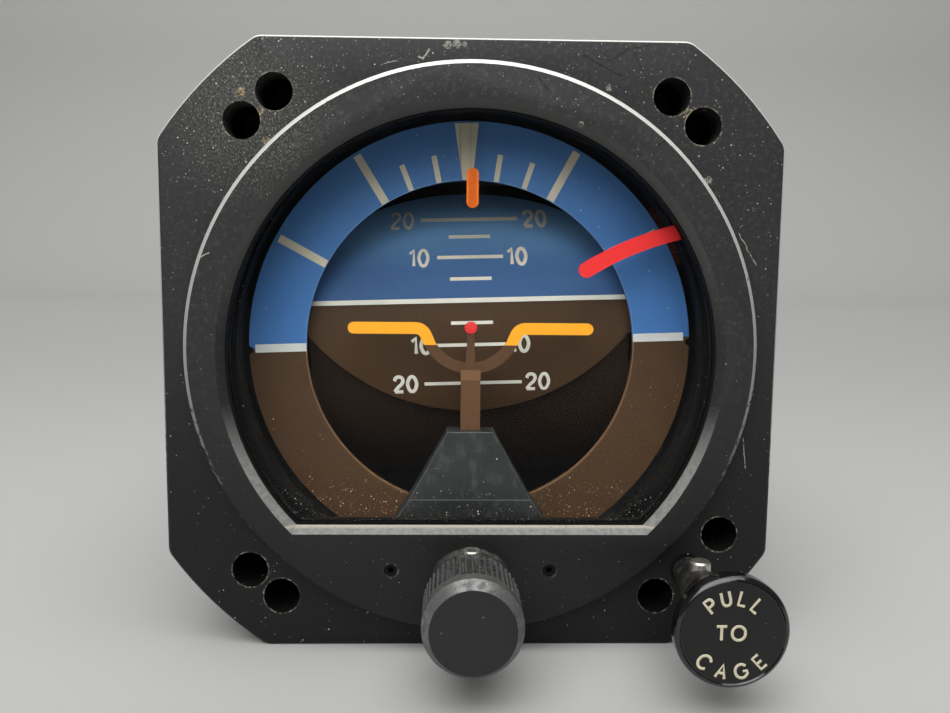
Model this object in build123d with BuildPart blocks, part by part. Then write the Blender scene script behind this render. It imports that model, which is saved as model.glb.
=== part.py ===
from build123d import *

import os
from math import asin, cos, degrees, pi, radians, sin, sqrt

# Attitude indicator (electric gyro horizon) for a 3 1/8 inch panel cut-out.
# Millimetres. +X right, +Y into the instrument, +Z up as the pilot sees it.
# The origin is on the roll axis, in the mounting face that meets the back of the panel.

os.makedirs("parts", exist_ok=True)

# ---------------------------------------------------------------- driving dimensions
# mounting flange and raised disc
bolt_circle = 88.9                  # 3.5 inch standard
hole_radius = 2.55
second_hole_x, second_hole_z = 27.0, 35.31
offset_hole_angle = -36.0           # extra hole on the bolt circle, beside the cage knob
flange_width, flange_height, flange_thickness = 86.0, 85.4, 5.0
flange_corner_radius = 51.8         # corners are cut by an arc about the roll axis
flange_corner_blend = 2.5
flange_edge = 0.35
disc_radius, disc_height, disc_edge = 39.4, 3.0, 0.6

# window
window_radius, window_flat, window_centre = 33.9, -24.2, -0.7
window_bevel = 1.07
window_lip = 0.33                   # straight wall between bevel and gasket
pocket_margin = 1.6                 # glass pocket is this much larger than the window
gasket_thickness, glass_thickness, retainer_thickness = 0.3, 2.5, 1.4
gasket_overhang = 0.3               # gasket shows this much inside the window edge
retainer_overlap = 0.15
seat_clearance = 0.1

# casting behind the face
web_back = 3.0                      # back of the solid face below the window
cavity_radius = 36.2
spigot_back = 12.0

# case
can_radius, can_wall = 39.2, 1.5
case_fit = 0.1                      # what slides into the can is this much smaller
screw_radius, screw_head_radius, screw_head_height = 1.1, 1.9, 0.9
screw_length, pan_head_height = 3.0, 1.2
screws_per_ring = 6
can_chamfer = 0.6
cut_margin = 1.0                    # cutting shapes start and end this far outside a wall

# rest attitude: the gyro lies where it came to rest, banked and nose down
bank_at_rest, pitch_at_rest = 1.5, 14.4
pitch_axis_depth = 39.0

# roll dial
dial_depth, dial_thickness = 9.5, 0.8
dial_radius, dial_inner_radius, dial_notch_radius = 33.0, 24.5, 0.6

# pitch drum
drum_radius, drum_wall, drum_half_width = 27.0, 0.8, 25.8
drum_top, drum_bottom = 19.4, -16.4             # edges on the centre line, gyro level
drum_top_arc, drum_bottom_arc = 30.5, 32.4
cheek_thickness, cheek_margin, cheek_arm, cheek_rise = 1.2, 1.0, 7.6, 0.8
shroud_gap, shroud_wall, shroud_sweep = 0.6, 0.6, 100.0

# gyro motor
rotor_case_half_height, rotor_case_wall = 14.5, 1.2
case_split = 9.0                                # cap starts this far above the pitch axis
rotor_gap, rotor_rim, rotor_bottom, rotor_top = 1.2, 4.1, -7.6, 7.6
rotor_web, rotor_hub_radius, rotor_hub_height = 2.0, 4.5, 1.4
journal_end_gap = 0.3
case_boss, case_boss_root = 2.0, 4.0            # trunnion bosses outside and inside the case wall
motor_post_radius, lead_hole = 6.2, 2.6
cap_chamfer, cap_chamfer_inner, cap_seat_floor = 3.0, 3.5, 0.8
air_gap, stator_height, stator_slots = 0.6, 8.0, 12
slot_reach, slot_opening = 3.4, 1.6
winding_below, winding_above, winding_inset, winding_gap = 2.2, 1.2, 0.8, 1.2
small_bearing_radius, small_bearing_bore, small_bearing_width = 5.0, 2.0, 4.0
running_clearance = 0.02
trunnion_flange_radius, trunnion_flange = 5.5, 2.6

# fork gimbal
fork_side_gap, fork_arm = 0.7, 4.0
fork_back_gap, fork_plate, fork_plate_radius = 2.0, 3.0, 33.0
fork_front_half, fork_rear_half, fork_taper = 9.0, 14.0, 8.0
fork_front_slot, fork_rear_slot, fork_slot_rib = (13.0, 9.0), (14.0, 10.0), 4.5
fork_hole_distance, fork_hole_radius = 20.0, 7.5
roll_shaft_radius, roll_shaft_tail, roll_flange_radius, roll_flange = 4.0, 1.0, 9.0, 3.5
roll_bearing_radius, roll_bearing_width = 8.0, 5.0
shield_depth, outer_race, inner_race = 0.4, 1.2, 1.0
cam_gap, cam_thickness, cam_low, cam_high = 0.5, 3.0, 7.0, 12.0
slip_ring_count, slip_ring_radius, slip_ring_width, slip_ring_gap = 5, 5.5, 1.4, 0.6
slip_ring_lead = 2.0                            # gap between the bulkhead's hub and the rings

# bulkhead, board and rear end
bulkhead_plate, bulkhead_hub_radius = 4.0, 11.0
hub_gap, hub_ahead, hub_behind = 2.0, 6.0, 10.0
bulkhead_holes, bulkhead_hole_radius = 4, 6.5
bulkhead_rim_wall, bulkhead_rim_depth, bearing_shoulder = 3.0, 2.0, 2.0
board_gap, board_thickness, board_radius, component_gap = 5.0, 1.6, 34.0, 2.4
transformer_place, transformer_size, transformer_height = (-14, 9), (16, 13), 10.0
capacitor_places, capacitor_radius, capacitor_height = ((10, 13), (19, 8), (10, -14)), 4.0, 11.0
relay_places, relay_size, relay_height = ((-10, -13), (-20, -8)), (7, 9), 3.0
post_radius, post_distance, board_screw_reach = 2.5, 29.0, 4.0
brush_clearance, brush_gap, brush_size = 0.1, 3.5, (0.8, 2.0)
brush_block_size, brush_block_front = (5, 11), 1.0
rear_cover_rim, rear_cover_plate, rear_cover_wall = 6.0, 2.4, 3.2
rear_cover_inset, rear_cover_chamfer = 1.0, 0.5
connector_square, connector_flange, connector_corner = 26.0, 2.4, 3.0
connector_screw_inset, connector_chamfer = 3.0, 0.4
connector_radius, connector_wall, connector_length = 9.6, 1.1, 13.0
insert_recess, pin_radius, pin_reach, pin_distance, pin_count = 10.0, 0.75, 5.0, 4.6, 6
pin_tail, pin_chamfer = 3.0, 0.3

# symbol lift
module = 0.4
pinion_teeth, idler_teeth = 12, 20
tooth_root, tooth_tip = 1.25, 0.8               # below and above the pitch line, in modules
root_share, tip_share = 0.31, 0.09              # half a tooth's width, in tooth pitches
trim_height = -31.4                             # height of the trim knob's axis
gear_depth, gear_width, pinion_bore = 4.1, 1.3, 1.1
symbol_height = 2.9
symbol_down, symbol_up = 5.0, 1.0
wing_span, wing_bar, cradle_bar = 36.0, 1.7, 1.6
cradle_height, cradle_radius = 3.8, 6.8         # centre line of the half ring
wing_bend, wing_join_angle = 1.6, -25.0
stem_width, stem_top, stem_tab, tab_rise = 2.9, -3.2, 1.6, 0.4
post_foot_half, post_top_half = 0.75, 0.45
carrier_depth, carrier_thickness = 5.8, 0.7
carrier_left, carrier_above, carrier_below, rack_backing = 3.2, 1.2, 1.6, 1.4
symbol_thickness = 0.6
guide_gap, guide_thickness = 0.3, 1.0
slot_width, idler_pin_radius = 1.8, 0.8
guide_half_width, guide_foot, guide_foot_height, guide_bottom = 12.5, 4.0, 6.0, -33.0
guide_side_gap, guide_overlap = 0.14, 0.5
slide_gap, lug_width, lug_height, lug_drop = 0.2, 0.7, 1.5, 1.8
lock_screw_x, lock_screw_z, lock_screw_radius = 11.15, -30.5, 0.95
lock_screw_recess, lock_socket_radius, lock_socket_depth = 0.35, 0.5, 1.2

# pedestal that hides the symbol lift
pedestal_depth, pedestal_wall, pedestal_lean = 2.7, 0.6, 1.1
pedestal_top, pedestal_bend, pedestal_bottom = -12.0, -21.8, -25.5
pedestal_top_half, pedestal_bend_half, pedestal_bottom_half = 3.4, 8.9, 11.2

# bank pointer on its clear strip, and the mask round the dial
mask_depth, mask_back, mask_inner_radius, mask_bottom = 5.2, 8.8, 33.8, -26.0
strip_width, strip_thickness, strip_bottom, strip_overlap = 3.2, 0.6, 19.8, 1.5
strip_corner = 1.28
pointer_width, pointer_length, pointer_bottom, pointer_thickness = 1.7, 5.6, 20.25, 0.4

# warning flag
flag_depth, flag_thickness, flag_width = 3.2, 0.5, 2.2
flag_tip, flag_middle, flag_root = (16.3, 11.65), (23.9, 15.45), (29.4, 17.15)
flag_pivot = (30.4, 17.25)
flag_neck, flag_hub_radius, flag_shaft_radius, flag_clearance = 1.5, 0.75, 0.5, 0.35
neck_start = 0.95                               # along the flag's middle line
flag_coil_radius, flag_coil_length, coil_cheek, winding_step = 1.9, 9.0, 1.0, 0.4
flag_bracket, flag_bracket_length = 0.8, 9.5

# trim knob
trim_front, trim_back, trim_radius = -22.0, -8.0, 6.35
trim_face_radius, trim_bevel, trim_smooth = 5.4, 1.5, 1.8
trim_collar, trim_collar_radius = 4.0, 6.1      # smooth band at the back
knurl_teeth, knurl_depth, knurl_width, knurl_flank = 48, 0.28, 0.55, 62
knurl_step, knurl_sink, trim_back_edge = 0.2, 0.1, 0.5
trim_solid_front = 4.5                          # the shaft's hole ends this far behind the face
trim_shaft_radius, trim_bushing_wall = 1.5, 1.5
trim_collar_height, trim_collar_reach, trim_collar_chamfer = 1.2, 1.0, 0.3
shaft_clip_reach, shaft_clip_thickness = 1.1, 0.4
set_screw_radius, set_screw_stand, set_screw_chamfer = 1.25, 0.25, 0.15
set_socket_radius, set_socket_depth = 0.62, 1.2

# cage knob and the linkage behind it
cage_front, cage_back = -21.8, -0.8
cage_label_radius, cage_rim_radius, cage_neck_radius = 6.4, 7.1, 2.2
cage_rim_width, cage_rim_round, cage_lip, label_recess = 1.9, 0.9, 0.15, 0.2
cage_waist_radius, cage_waist_depth = 3.8, -12.35
cage_solid_front = 8.0                          # the rod's hole ends this far behind the label
cage_rod_radius, cage_rod_tail, cage_pull = 1.4, 2.5, 12.0
cage_bushing_wall, cage_bushing_front, cage_bushing_stand = 0.9, 0.2, 1.2
cage_screw_depth, cage_screw_radius, cage_screw_stand = -6.8, 1.45, 0.55
cage_neck_there = 3.23                          # neck's radius beside the set screw
cage_socket_radius, cage_socket_depth, cage_screw_chamfer = 0.7, 1.0, 0.25
tunnel_radius, tunnel_wall, tunnel_end_gap, tunnel_end_wall = 3.2, 0.6, 4.0, 3.0
tunnel_ear, ear_thickness, tunnel_ear_angle, ear_screw_angle = 8.0, 1.8, 17.5, 14.5
front_ear_depth, rear_ear_gap = 20.0, 1.0
spring_radius, spring_wire, spring_turns = 2.3, 0.5, 10
spring_clip_depth, spring_clip_thickness = 35.0, 1.0
wedge_lead, wedge_tail, wedge_slope, wedge_width, wedge_gap = 3.5, 2.0, 0.2, 2.6, 0.4
plunger_radius, plunger_collar_radius, plunger_collar_height = 1.2, 1.9, 1.2
plunger_clearance, plunger_collar_inset = 0.15, 1.0
plunger_guide_radius, plunger_guide_inner, plunger_guide_floor = 3.0, 29.0, 1.5
plunger_spring_wire, plunger_spring_turns, plunger_spring_gap = 0.3, 5, 0.3
cam_clearance, cam_steps = 0.3, 4


# ---------------------------------------------------------------- derived places
corner = bolt_circle / 2 * sqrt(0.5)            # 45 degree holes and the cage knob
pocket_radius = window_radius + pocket_margin
pocket_flat = window_flat - pocket_margin
glass_seat = -disc_height + window_bevel + window_lip
glass_front = glass_seat + gasket_thickness
glass_back = glass_front + glass_thickness
retainer_back = glass_back + retainer_thickness
can_inside = can_radius - can_wall
inner_fit_radius = can_inside - case_fit
rotor_case_radius = drum_half_width - cheek_thickness - trunnion_flange - case_boss
case_inside = rotor_case_radius - rotor_case_wall
rotor_radius = case_inside - rotor_gap
stator_radius = rotor_radius - rotor_rim - air_gap
fork_inside = drum_half_width + fork_side_gap
fork_back = pitch_axis_depth + drum_radius + fork_back_gap
cam_depth = fork_back + fork_plate + roll_flange + cam_gap
cam_plane_depth = cam_depth + cam_thickness / 2
bulkhead_hub_front = cam_depth + cam_thickness + hub_gap
bulkhead_depth = bulkhead_hub_front + hub_ahead
bulkhead_hub_back = bulkhead_depth + bulkhead_plate + hub_behind
slip_ring_start = bulkhead_hub_back + slip_ring_lead
slip_ring_step = slip_ring_width + slip_ring_gap
roll_shaft_back = slip_ring_start + slip_ring_count * slip_ring_step + roll_shaft_tail
board_depth = roll_shaft_back + board_gap
cover_front = board_depth + board_thickness + capacitor_height + component_gap
cover_back = cover_front + rear_cover_rim
can_back = cover_back + rear_cover_inset
wedge_front = cam_plane_depth - wedge_lead
wedge_back = cam_plane_depth + cage_pull + wedge_tail
cage_rod_back = wedge_back + cage_rod_tail
tunnel_back = cage_rod_back + tunnel_end_gap + tunnel_end_wall
idler_height = trim_height + module * (pinion_teeth + idler_teeth) / 2
rack_pitch_line = module * idler_teeth / 2
cage_distance = bolt_circle / 2

bank = radians(bank_at_rest)
pitch = radians(pitch_at_rest)
banked_x = Vector(cos(bank), 0, sin(bank))
banked_up = Vector(-sin(bank), 0, cos(bank))
gyro_centre = Vector(0, pitch_axis_depth, 0)
spin_axis = banked_up * cos(pitch) + Vector(0, 1, 0) * sin(pitch)
gyro = Plane(origin=gyro_centre, x_dir=banked_x, z_dir=spin_axis)
gyro_side = Plane(origin=gyro_centre, x_dir=gyro.y_dir, z_dir=banked_x)
gyro_front = Plane(origin=gyro_centre, x_dir=banked_x, z_dir=gyro.y_dir * -1)


def facing(depth):
    """Plane that faces the pilot, at a depth behind the mounting face."""
    return Plane.XZ.offset(-depth)


def facing_banked(depth):
    """The same plane, turned with the roll gimbal."""
    return Plane(origin=(0, depth, 0), x_dir=banked_x, z_dir=(0, -1, 0))


def turning(x, z):
    """Plane for a profile of radius and depth, to be turned about an axis along Y."""
    return Plane(origin=(x, 0, z), x_dir=(1, 0, 0), z_dir=(0, 0, 1))


def depth_axis(x, z):
    return Axis((x, 0, z), (0, 1, 0))


def radial(angle, radius, depth):
    """Plane on a cylinder about the roll axis, facing outwards."""
    out = (cos(radians(angle)), 0, sin(radians(angle)))
    return Plane(origin=(radius * out[0], depth, radius * out[2]), x_dir=(0, 1, 0), z_dir=out)


def window_outline(radius, flat):
    """Round opening cut off straight along the bottom."""
    with BuildSketch() as outline:
        with Locations((0, window_centre)):
            Circle(radius)
        with Locations((0, flat)):
            Rectangle(3 * radius, 3 * radius, align=(Align.CENTER, Align.MAX), mode=Mode.SUBTRACT)
    return outline.sketch


def gear_outline(teeth, first_tooth):
    """Spur gear with straight flanks; the first tooth is at the given angle."""
    pitch_radius = module * teeth / 2
    root, tip = pitch_radius - tooth_root * module, pitch_radius + tooth_tip * module
    step = 360 / teeth
    points = []
    for tooth in range(teeth):
        corners = ((root, -root_share), (tip, -tip_share), (tip, tip_share), (root, root_share))
        for radius, share in corners:
            angle = radians(first_tooth + (tooth + share) * step)
            points.append((radius * cos(angle), radius * sin(angle)))
    with BuildSketch() as outline:
        with BuildLine():
            Polyline(*points, close=True)
        make_face()
    return outline.sketch


def quarter_round(inner, outer):
    """Convex quarter from a point on an end face to one on the outside, as radius and depth."""
    bulge = sqrt(0.5)
    middle = (
        inner[0] + (outer[0] - inner[0]) * bulge,
        outer[1] + (inner[1] - outer[1]) * bulge,
    )
    return ThreePointArc(inner, middle, outer)


def export(piece, name):
    piece.part.label = name
    export_step(piece.part, f"parts/{name}.step")


window_opening = window_outline(window_radius, window_flat)
glass_outline = window_outline(pocket_radius - seat_clearance, pocket_flat + seat_clearance)
ring_angles = [90 + n * 360 / screws_per_ring for n in range(screws_per_ring)]
front_screw_depth = (flange_thickness + spigot_back) / 2
bulkhead_screw_depth = bulkhead_depth + bulkhead_plate / 2
cover_screw_depth = cover_back - rear_cover_rim / 2
connector_screws = connector_square - 2 * connector_screw_inset

# ---------------------------------------------------------------- bezel casting
with BuildPart() as bezel_casting:
    with BuildSketch(facing(0)) as flange_face:
        Rectangle(flange_width, flange_height)
        Circle(flange_corner_radius, mode=Mode.INTERSECT)
        fillet(flange_face.vertices(), flange_corner_blend)
    extrude(amount=-flange_thickness)
    chamfer(bezel_casting.faces().sort_by(Axis.Y)[0].outer_wire().edges(), flange_edge)
    with BuildSketch(facing(-disc_height)):
        Circle(disc_radius)
    extrude(amount=-disc_height)
    with BuildSketch(facing(flange_thickness)):
        Circle(inner_fit_radius)
    extrude(amount=-(spigot_back - flange_thickness))
    with BuildSketch(facing(web_back)):
        Circle(cavity_radius)
    extrude(amount=-(spigot_back - web_back), mode=Mode.SUBTRACT)
    with BuildSketch(facing(-disc_height)):
        add(window_opening)
    extrude(amount=-(disc_height + web_back), mode=Mode.SUBTRACT)
    disc_face = bezel_casting.faces().sort_by(Axis.Y)[0]
    chamfer(disc_face.outer_wire().edges(), disc_edge)
    chamfer(bezel_casting.faces().sort_by(Axis.Y)[0].inner_wires()[0].edges(), window_bevel)
    with BuildSketch(facing(glass_seat)):
        add(window_outline(pocket_radius, pocket_flat))
    extrude(amount=-(web_back - glass_seat), mode=Mode.SUBTRACT)
    with BuildSketch(facing(0)):
        with GridLocations(2 * second_hole_x, 2 * second_hole_z, 2, 2):
            Circle(hole_radius)
        with Locations((corner, corner), (-corner, corner), (-corner, -corner)):
            Circle(hole_radius)
        with PolarLocations(cage_distance, 1, offset_hole_angle):
            Circle(hole_radius)
        with Locations((corner, -corner)):
            Circle(cage_rod_radius + cage_bushing_wall)
    extrude(amount=-flange_thickness, mode=Mode.SUBTRACT)
    with BuildSketch(facing(-disc_height)):
        with Locations((0, trim_height)):
            Circle(trim_shaft_radius + trim_bushing_wall)
        with Locations((lock_screw_x, lock_screw_z), (-lock_screw_x, lock_screw_z)):
            Circle(lock_screw_radius)
    extrude(amount=-(disc_height + web_back), mode=Mode.SUBTRACT)
    with BuildSketch(*[radial(a, inner_fit_radius, front_screw_depth) for a in ring_angles]):
        Circle(screw_radius)
    extrude(amount=-(inner_fit_radius - cavity_radius + cut_margin), mode=Mode.SUBTRACT)
export(bezel_casting, "bezel_casting")

# ---------------------------------------------------------------- window
with BuildPart() as glass_gasket:
    with BuildSketch(facing(glass_seat)):
        add(glass_outline)
        add(
            window_outline(window_radius - gasket_overhang, window_flat + gasket_overhang),
            mode=Mode.SUBTRACT,
        )
    extrude(amount=-gasket_thickness)
export(glass_gasket, "glass_gasket")

with BuildPart() as window_glass:
    with BuildSketch(facing(glass_front)):
        add(glass_outline)
    extrude(amount=-glass_thickness)
export(window_glass, "window_glass")

with BuildPart() as glass_retainer:
    with BuildSketch(facing(glass_back)):
        add(glass_outline)
        add(
            window_outline(window_radius + retainer_overlap, window_flat - retainer_overlap),
            mode=Mode.SUBTRACT,
        )
    extrude(amount=-retainer_thickness)
export(glass_retainer, "glass_retainer")

# black ring that masks the gap round the dial; it carries the bank pointer's strip
with BuildPart() as dial_mask:
    with BuildSketch(facing(mask_depth)):
        Circle(cavity_radius - seat_clearance)
        Circle(mask_inner_radius, mode=Mode.SUBTRACT)
        with Locations((0, mask_bottom)):
            Rectangle(
                3 * cavity_radius, cavity_radius, align=(Align.CENTER, Align.MAX), mode=Mode.SUBTRACT
            )
        with Locations(flag_pivot):
            Circle(flag_shaft_radius + flag_clearance, mode=Mode.SUBTRACT)
    extrude(amount=-(mask_back - mask_depth))
export(dial_mask, "dial_mask")

with BuildPart() as pointer_strip:
    strip_top = mask_inner_radius + strip_overlap
    with BuildSketch(facing(mask_depth - strip_thickness)) as strip_face:
        with Locations((0, (strip_bottom + strip_top) / 2)):
            Rectangle(strip_width, strip_top - strip_bottom)
        fillet(strip_face.vertices().group_by(Axis.Y)[0], strip_corner)
    extrude(amount=-strip_thickness)
export(pointer_strip, "pointer_strip")

with BuildPart() as bank_pointer:
    with BuildSketch(facing(mask_depth - strip_thickness - pointer_thickness)):
        with Locations((0, pointer_bottom + pointer_length / 2)):
            SlotOverall(pointer_length, pointer_width, rotation=90)
    extrude(amount=-pointer_thickness)
export(bank_pointer, "bank_pointer")

# ---------------------------------------------------------------- aircraft symbol
with BuildPart() as aircraft_symbol:
    plate_depth = carrier_depth + carrier_thickness
    wing_tip = wing_span / 2 - wing_bar / 2
    join = radians(wing_join_angle)
    join_x = cradle_radius * cos(join)
    join_z = cradle_height + cradle_radius * sin(join)
    knee_x = join_x - (symbol_height - join_z) * sin(join) / cos(join)
    with BuildSketch(facing(plate_depth)):
        with BuildLine() as cradle_line:
            CenterArc(
                (0, cradle_height), cradle_radius, 180 - wing_join_angle, 180 + 2 * wing_join_angle
            )
        trace(cradle_line.line, cradle_bar)
        for side in (-1, 1):
            with BuildLine() as wing_line:
                FilletPolyline(
                    (side * wing_tip, symbol_height),
                    (side * knee_x, symbol_height),
                    (side * join_x, join_z),
                    radius=wing_bend,
                )
            trace(wing_line.line, wing_bar)
            with Locations((side * wing_tip, symbol_height)):
                Circle(wing_bar / 2)
        with BuildLine():
            post_foot = cradle_height - cradle_radius
            Polyline(
                (-post_foot_half, post_foot),
                (post_foot_half, post_foot),
                (post_top_half, symbol_height),
                (-post_top_half, symbol_height),
                close=True,
            )
        make_face()
        with Locations((0, stem_top + tab_rise)):
            Rectangle(stem_width, stem_tab, align=(Align.CENTER, Align.MAX))
    extrude(amount=-symbol_thickness)
export(aircraft_symbol, "aircraft_symbol")

# carrier: the visible stem, widened below into a slotted plate with the rack on it
carrier_top = idler_height + symbol_down + carrier_above
carrier_bottom = idler_height - symbol_up - carrier_below
rack_back = rack_pitch_line + rack_backing
with BuildPart() as symbol_carrier:
    with BuildSketch(facing(carrier_depth)):
        with Locations((0, stem_top)):
            Rectangle(stem_width, stem_top - carrier_bottom, align=(Align.CENTER, Align.MAX))
        with Locations((-carrier_left, carrier_bottom)):
            Rectangle(
                carrier_left + rack_back, carrier_top - carrier_bottom, align=(Align.MIN, Align.MIN)
            )
        slot_top = idler_height + symbol_down + slot_width / 2
        slot_bottom = idler_height - symbol_up - slot_width / 2
        with Locations((0, (slot_top + slot_bottom) / 2)):
            SlotOverall(slot_top - slot_bottom, slot_width, rotation=90, mode=Mode.SUBTRACT)
    extrude(amount=-carrier_thickness)
    rack_pitch = pi * module
    rack_root = rack_pitch_line + tooth_root * module
    rack_tip = rack_pitch_line - tooth_tip * module
    rack_points = [(rack_back, carrier_bottom)]
    tooth = round((carrier_bottom - idler_height) / rack_pitch) + 0.5
    while idler_height + (tooth + 0.5) * rack_pitch < carrier_top:
        middle = idler_height + tooth * rack_pitch
        rack_points += [
            (rack_root, middle - root_share * rack_pitch),
            (rack_tip, middle - tip_share * rack_pitch),
            (rack_tip, middle + tip_share * rack_pitch),
            (rack_root, middle + root_share * rack_pitch),
        ]
        tooth += 1
    rack_points += [(rack_root, carrier_top), (rack_back, carrier_top)]
    with BuildSketch(facing(gear_depth)):
        with BuildLine():
            Polyline(*rack_points, close=True)
        make_face()
    extrude(amount=-(carrier_depth - gear_depth))
export(symbol_carrier, "symbol_carrier")

# gears between the trim knob and the rack
with BuildPart() as trim_pinion:
    with BuildSketch(facing(gear_depth)):
        with Locations((0, trim_height)):
            add(gear_outline(pinion_teeth, 90 + 180 / pinion_teeth))
            Circle(pinion_bore, mode=Mode.SUBTRACT)
    extrude(amount=-gear_width)
export(trim_pinion, "trim_pinion")

with BuildPart() as idler_gear:
    with BuildSketch(facing(gear_depth)):
        with Locations((0, idler_height)):
            add(gear_outline(idler_teeth, -90))
            Circle(idler_pin_radius + running_clearance, mode=Mode.SUBTRACT)
    extrude(amount=-gear_width)
export(idler_gear, "idler_gear")

# bracket behind the carrier: two feet on the casting, the idler's pin and two guide lugs
guide_front = carrier_depth + carrier_thickness + guide_gap
guide_back = guide_front + guide_thickness
inset = pedestal_wall + guide_side_gap
with BuildPart() as symbol_guide:
    with BuildSketch(facing(guide_front)):
        with BuildLine():
            right_side = [
                (pedestal_top_half - inset, pedestal_top - inset),
                (pedestal_bend_half - inset, pedestal_bend),
                (pedestal_bottom_half - inset, pedestal_bottom),
                (pedestal_bottom_half - inset, pedestal_bottom - 2 * guide_overlap),
            ]
            Polyline(*right_side, *[(-x, z) for x, z in reversed(right_side)], close=True)
        make_face()
        with Locations((0, guide_bottom)):
            Rectangle(
                2 * guide_half_width,
                pedestal_bottom - guide_overlap - guide_bottom,
                align=(Align.CENTER, Align.MIN),
            )
    extrude(amount=-guide_thickness)
    with BuildSketch(facing(web_back)):
        for side in (-1, 1):
            with Locations((side * (guide_half_width - guide_foot / 2), guide_bottom)):
                Rectangle(guide_foot, guide_foot_height, align=(Align.CENTER, Align.MIN))
    extrude(amount=-(guide_front - web_back))
    with BuildSketch(facing(carrier_depth)):
        for side in (-1, 1):
            with Locations((side * (stem_width + 2 * slide_gap + lug_width) / 2, pedestal_top - lug_drop)):
                Rectangle(lug_width, lug_height)
    extrude(amount=-(guide_front - carrier_depth))
    with BuildSketch(facing(gear_depth)):
        with Locations((0, idler_height)):
            Circle(idler_pin_radius)
    extrude(amount=-(guide_front - gear_depth))
    with BuildSketch(facing(web_back)):
        with Locations((lock_screw_x, lock_screw_z), (-lock_screw_x, lock_screw_z)):
            Circle(lock_screw_radius)
    extrude(amount=-(guide_back - web_back), mode=Mode.SUBTRACT)
export(symbol_guide, "symbol_guide")

with BuildPart() as face_setscrews:
    screw_places = [(lock_screw_x, lock_screw_z), (-lock_screw_x, lock_screw_z)]
    screw_front = facing(-disc_height + lock_screw_recess)
    with BuildSketch(screw_front):
        with Locations(*screw_places):
            Circle(lock_screw_radius - running_clearance)
    extrude(amount=-(disc_height - lock_screw_recess + guide_front))
    with BuildSketch(screw_front):
        with Locations(*screw_places):
            RegularPolygon(lock_socket_radius, 6)
    extrude(amount=-lock_socket_depth, mode=Mode.SUBTRACT)
export(face_setscrews, "face_setscrews")

# black pedestal: a folded cover, open at the back and below
with BuildPart() as pedestal_cover:
    with BuildSketch(Plane.YZ.offset(-pedestal_bottom_half)):
        with BuildLine():
            Polyline(
                (pedestal_depth + pedestal_lean, pedestal_top),
                (pedestal_depth, pedestal_bend),
                (pedestal_depth, pedestal_bottom),
                (guide_back, pedestal_bottom),
                (guide_back, pedestal_top),
                close=True,
            )
        make_face()
    extrude(amount=2 * pedestal_bottom_half)
    with BuildSketch(facing(0)):
        with BuildLine():
            right_side = [
                (pedestal_top_half, pedestal_top),
                (pedestal_bend_half, pedestal_bend),
                (pedestal_bottom_half, pedestal_bottom),
            ]
            Polyline(*right_side, *[(-x, z) for x, z in reversed(right_side)], close=True)
        make_face()
    extrude(amount=-guide_back, mode=Mode.INTERSECT)
    open_faces = [
        pedestal_cover.faces().sort_by(Axis.Y)[-1], pedestal_cover.faces().sort_by(Axis.Z)[0]
    ]
    offset(amount=-pedestal_wall, openings=open_faces)
    with BuildSketch(facing(carrier_depth - slide_gap)):
        with Locations((0, pedestal_top)):
            Rectangle(stem_width + 2 * slide_gap, 2 * (pedestal_wall + slide_gap))
    extrude(amount=-(guide_back - carrier_depth + slide_gap), mode=Mode.SUBTRACT)
export(pedestal_cover, "pedestal_cover")

# ---------------------------------------------------------------- trim knob
trim_axis = depth_axis(0, trim_height)
with BuildPart() as trim_bushing:
    with BuildSketch(turning(0, trim_height)):
        with BuildLine():
            bore = trim_shaft_radius + running_clearance
            sleeve = trim_shaft_radius + trim_bushing_wall
            collar = sleeve + trim_collar_reach
            Polyline(
                (bore, -disc_height - trim_collar_height),
                (collar, -disc_height - trim_collar_height),
                (collar, -disc_height),
                (sleeve, -disc_height),
                (sleeve, web_back),
                (bore, web_back),
                close=True,
            )
        make_face()
    revolve(axis=trim_axis)
    chamfer(trim_bushing.faces().sort_by(Axis.Y)[0].outer_wire().edges(), trim_collar_chamfer)
export(trim_bushing, "trim_bushing")

with BuildPart() as trim_shaft:
    with BuildSketch(turning(0, trim_height)):
        with BuildLine():
            Polyline(
                (0, trim_front + trim_solid_front),
                (trim_shaft_radius, trim_front + trim_solid_front),
                (trim_shaft_radius, gear_depth),
                (pinion_bore, gear_depth),
                (pinion_bore, gear_depth + gear_width),
                (0, gear_depth + gear_width),
                close=True,
            )
        make_face()
    revolve(axis=trim_axis)
export(trim_shaft, "trim_shaft")

with BuildPart() as trim_shaft_clip:
    with BuildSketch(facing(web_back + seat_clearance)):
        with Locations((0, trim_height)):
            Circle(trim_shaft_radius + shaft_clip_reach)
            Circle(trim_shaft_radius, mode=Mode.SUBTRACT)
    extrude(amount=-shaft_clip_thickness)
export(trim_shaft_clip, "trim_shaft_clip")

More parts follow.
